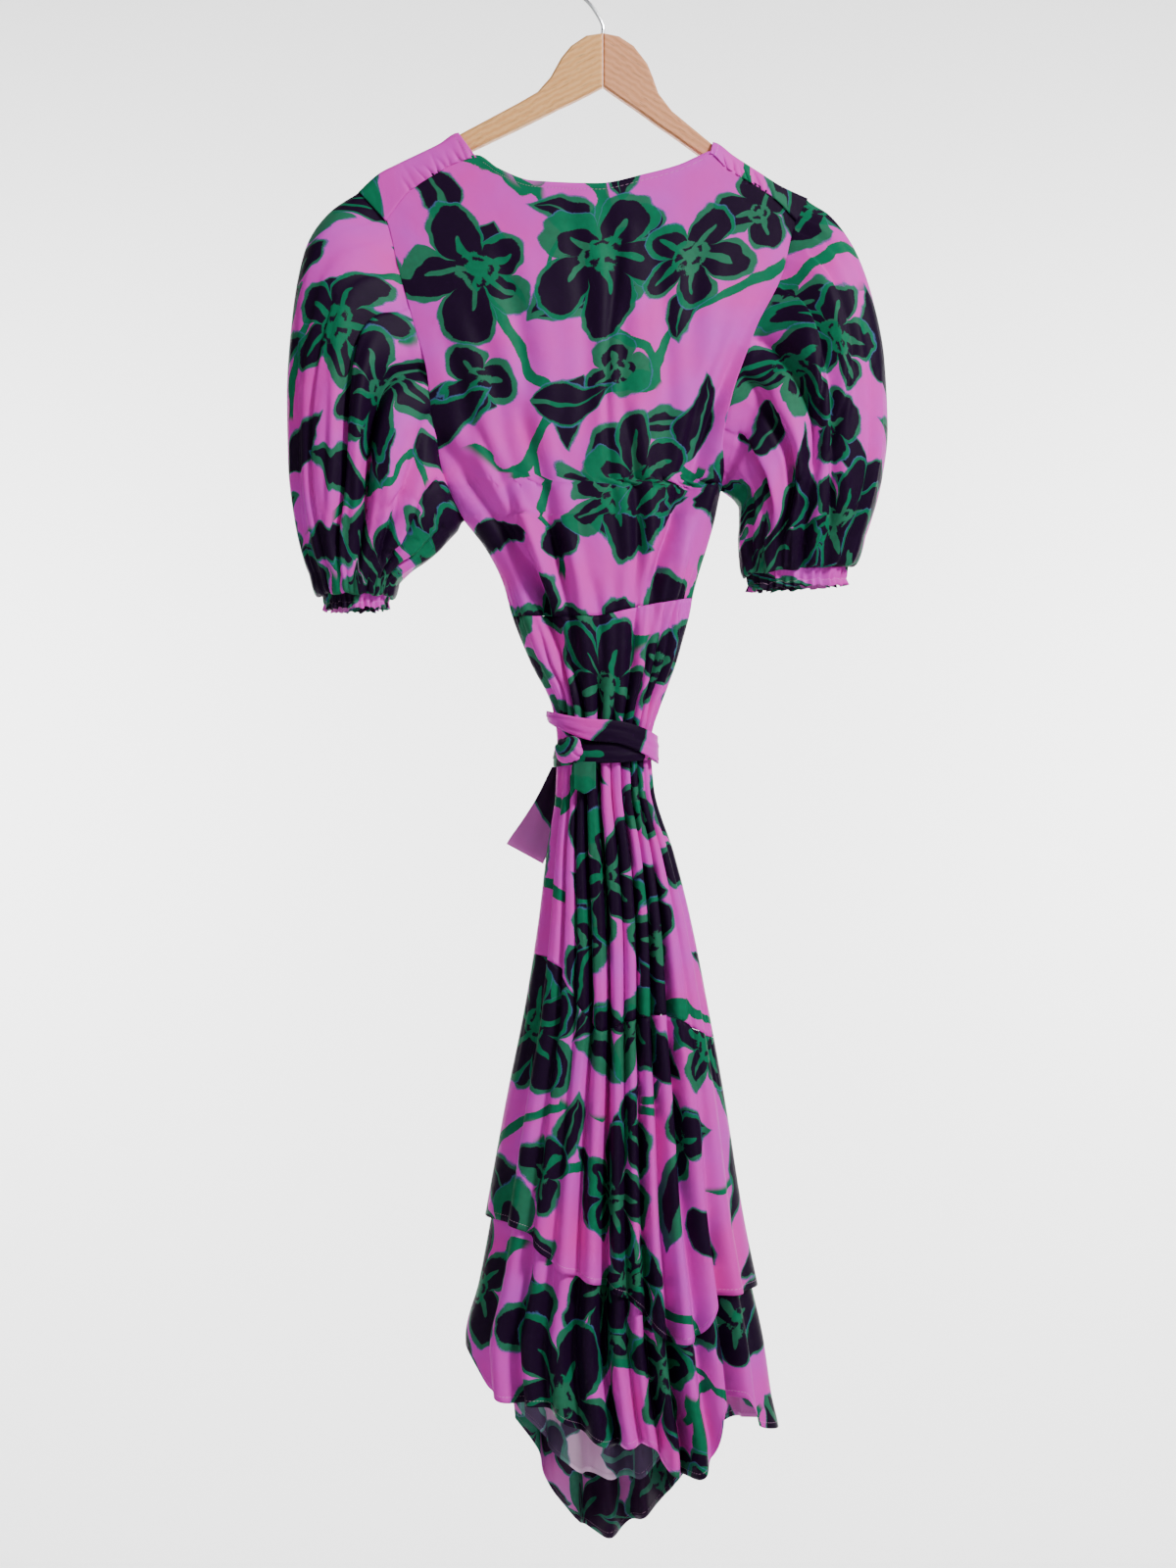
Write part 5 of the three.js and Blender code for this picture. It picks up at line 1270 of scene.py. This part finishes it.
# %% Tail and loop
TAIL_X, TAIL_WIDE, TAIL_TOP, TAIL_END, TAIL_POINT = 14.5, 18, -730, -754, 5
LOOP = [  # outer x, z, inner x, z and y of each row
    (47, -734, 37, -734.6, -25), (62, -764, 40, -772, -29), (77, -788, 46, -800, -32),
    (86.5, -801, 53, -819, -32), (89.5, -806, 55.5, -824.5, -28), (86.5, -801, 53, -819, -24),
    (76, -786, 46, -797, -23), (60, -761, 40, -768, -22.5), (46, -734, 37, -734.6, -22.3)]


def tail_grid(rows=24, cols=20):
    share = np.linspace(-0.5, 0.5, cols)
    level = np.linspace(0, 1, rows)[:, None]
    z = mix(TAIL_TOP, TAIL_END, level) - TAIL_POINT * unit((level - 0.75) * 4) * (1 - 2 * np.abs(share))
    out = BELT_OFF + BELT_THICK + BELT_BELLY + 2 * WALL + 0.4 * np.cos(share * 9)
    return body_point(BACK, turn_of_x(TAIL_X - share * TAIL_WIDE, z), z, -out + 0 * z, False)


def loop_grid(rows=90, cols=24):
    table = np.array(LOOP, float)
    t = np.linspace(0, len(LOOP) - 1, rows)
    out_x, out_z, in_x, in_z, y = (line(np.arange(len(LOOP)), table[:, k])(t)[:, None] for k in range(5))
    share = np.linspace(0, 1, cols)
    ripple = 0.7 * np.sin(share * 7 + t[:, None] * 0.8) * np.sin(np.pi * share)
    return np.stack(np.broadcast_arrays(mix(out_x, in_x, share), y + ripple, mix(out_z, in_z, share)), -1)


cloth_piece("belt_tail", tail_grid(), -1, both, slot="belt_silk", place=(2.388, 1.319))
cloth_piece("belt_loop", loop_grid(), -1, both, place=(2.084, 1.585), **belt)

# %% [markdown]
# The knot is one pass of the belt wound over another. A rope of cloth could be tied, but at
# this size a pleated ball with a band across it looks the same, and it stays closed.

# %% Knot
KNOT_HALF = np.array([15, 7.5, 12.5])
KNOT_POLE = 0.02


def knot(columns=64, rows=40):
    low, high = (np.array(corner) * 1000 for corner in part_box("belt_knot"))
    centre = (low + high) / 2
    theta = np.linspace(0, 2 * np.pi, columns, endpoint=False)
    phi = np.linspace(KNOT_POLE, np.pi - KNOT_POLE, rows)[:, None]
    ball = np.broadcast_arrays(np.sin(phi) * np.cos(theta), np.sin(phi) * np.sin(theta), np.cos(phi))
    x, _, z = ball
    band = unit(1.5 - np.abs((x * 0.85 + z * 0.5) / 0.3)) ** 0.5
    pleat = np.abs(np.sin(3.6 * (z - 0.6 * x) + 0.8 * np.sin(4 * x)))
    over = np.abs(np.sin(5.2 * (x * 0.6 - z * 0.8)))
    swell = 0.8 + mix(0.14 * pleat, 0.12 + 0.07 * over, band)
    turn = -math.atan2(*centre[:2]) * 0.9
    spin = np.array([[math.cos(turn), -math.sin(turn), 0], [math.sin(turn), math.cos(turn), 0], [0, 0, 1]])
    return centre + np.stack(ball, -1) * swell[..., None] * KNOT_HALF @ spin.T


cloth_piece("belt_knot", knot(), -1, both, ring=True, place=(12.3, 0.44), thick=0.3, **belt)

# %% [markdown]
# The hanger is two arms of pale wood, mitred at the middle, and a plain steel hook. Its solids
# are already its shape, so they stay and only get a finish. The grain is drawn along each arm,
# and the two arms differ a little in tone: a painted light and shade on one wood, the left arm lighter.

# %% Wood and steel
HOOK_STREAKS = (900, 900, 60)


def wood(name, light, dark, degrees):
    n = Nodes(name)
    place = n.turned(n.new("ShaderNodeTexCoord").outputs["Object"], "Y_AXIS", math.radians(degrees))
    rings = n.new("ShaderNodeTexWave", wave_type="BANDS", bands_direction="Z")
    n.wire(place, rings.inputs["Vector"])
    n.set(rings, Scale=60, Distortion=5, Detail=3, Detail_Scale=1.4)
    fibre = n.noise(n.vector("MULTIPLY", place, (40, 500, 900)), 1, 3)
    grain = n.math("MULTIPLY_ADD", fibre, 0.55, n.math("MULTIPLY", rings.outputs["Fac"], 0.5))
    pores = n.below(n.noise(n.vector("MULTIPLY", place, (110, 900, 1700)), 1, 1), 0.34, 0.03)
    colour = n.colour(grain, linear(light), linear(dark))
    colour = n.colour(n.math("MULTIPLY", pores, 0.4), colour, linear("8A5A34"))
    n.wire(colour, n.shader.inputs["Base Color"])
    n.wire(n.math("MULTIPLY_ADD", fibre, 0.2, 0.42), n.shader.inputs["Roughness"])
    n.bump(fibre, 0.3, 0.0006)
    return n.material


def steel():
    n = Nodes("drawn_steel")
    place = n.new("ShaderNodeTexCoord").outputs["Object"]
    streak = n.noise(n.vector("MULTIPLY", place, HOOK_STREAKS), 1, 2)
    n.wire(n.colour(streak, linear("D4D5D8"), linear("A9AAAD")), n.shader.inputs["Base Color"])
    n.shader.inputs["Metallic"].default_value = 1
    n.wire(n.math("MULTIPLY_ADD", streak, 0.14, 0.18), n.shader.inputs["Roughness"])
    return n.material


# the two arms' colours are painted light and shade of one wood, the left arm painted lighter
HANGER = {"hanger_arm_left": wood("wood_left", "FFC988", "E89C56", -28),
          "hanger_arm_right": wood("wood_right", "F8B287", "D98E5C", 34), "hanger_hook": steel()}
for node, material in HANGER.items():
    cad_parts[node].data.materials.clear()
    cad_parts[node].data.materials.append(material)
    print(node, "is finished in", material.name)

# %% [markdown]
# The stage is a pale backdrop and a pale floor well below the hem. A curved sweep would hide the
# line between them, but it falls at the picture's very bottom, so two plain planes are enough.

# %% Stage
def stage_plane(name, size, location, rotation, code):
    mesh = bpy.data.meshes.new(name)
    s = size / 2
    mesh.from_pydata([(-s, -s, 0), (s, -s, 0), (s, s, 0), (-s, s, 0)], [], [(0, 1, 2, 3)])
    plane = bpy.data.objects.new(name, mesh)
    bpy.context.scene.collection.objects.link(plane)
    plane.location = location
    plane.rotation_euler = rotation
    n = Nodes(name)
    n.shader.inputs["Base Color"].default_value = linear(code)
    n.shader.inputs["Roughness"].default_value = 0.9
    mesh.materials.append(n.material)
    print(name, size, "m wide")


stage_plane("floor", 14, (0, 0, -2.3), (0, 0, 0), "F6F6F6")
stage_plane("backdrop", 14, (0, -2.8, 0), (math.radians(90), 0, 0), "FAFAFA")

# %% [markdown]
# Large lights alone would leave the folds flat. So one small light from above, on the camera's
# side, gives them their edges, weak large ones open the shadows, and two more brighten the
# backdrop, as in a studio.

# %% Light
MIDDLE_OF_DRESS = (0, 0, -0.7)
LIGHTS = {  # place, size, power, target
    "key": ((-1.7, 1.75, 1.05), 0.5, 100, MIDDLE_OF_DRESS),
    "fill": ((2.2, 2.2, -0.4), 1.8, 10, MIDDLE_OF_DRESS),
    "front": ((0.4, -1.3, 0.9), 1.6, 9, MIDDLE_OF_DRESS),
    "backdrop_left": ((1.6, -1.2, -0.6), 1.2, 125, (0.7, -2.8, -0.7)),
    "backdrop_right": ((-1.6, -1.2, -0.6), 1.2, 125, (-0.7, -2.8, -0.7)),
}
for name, (location, size, power, target) in LIGHTS.items():
    data = bpy.data.lights.new(name, "AREA")
    data.shape = "SQUARE"
    data.size = size
    data.energy = power
    light = bpy.data.objects.new(name, data)
    bpy.context.scene.collection.objects.link(light)
    light.location = location
    light.rotation_euler = (Vector(target) - Vector(location)).to_track_quat("-Z", "Y").to_euler()

world = bpy.data.worlds.new("studio")
world.use_nodes = True
world.node_tree.nodes["Background"].inputs[0].default_value = (1, 1, 1, 1)
world.node_tree.nodes["Background"].inputs[1].default_value = 0.2
bpy.context.scene.world = world
print("lights", len(LIGHTS))
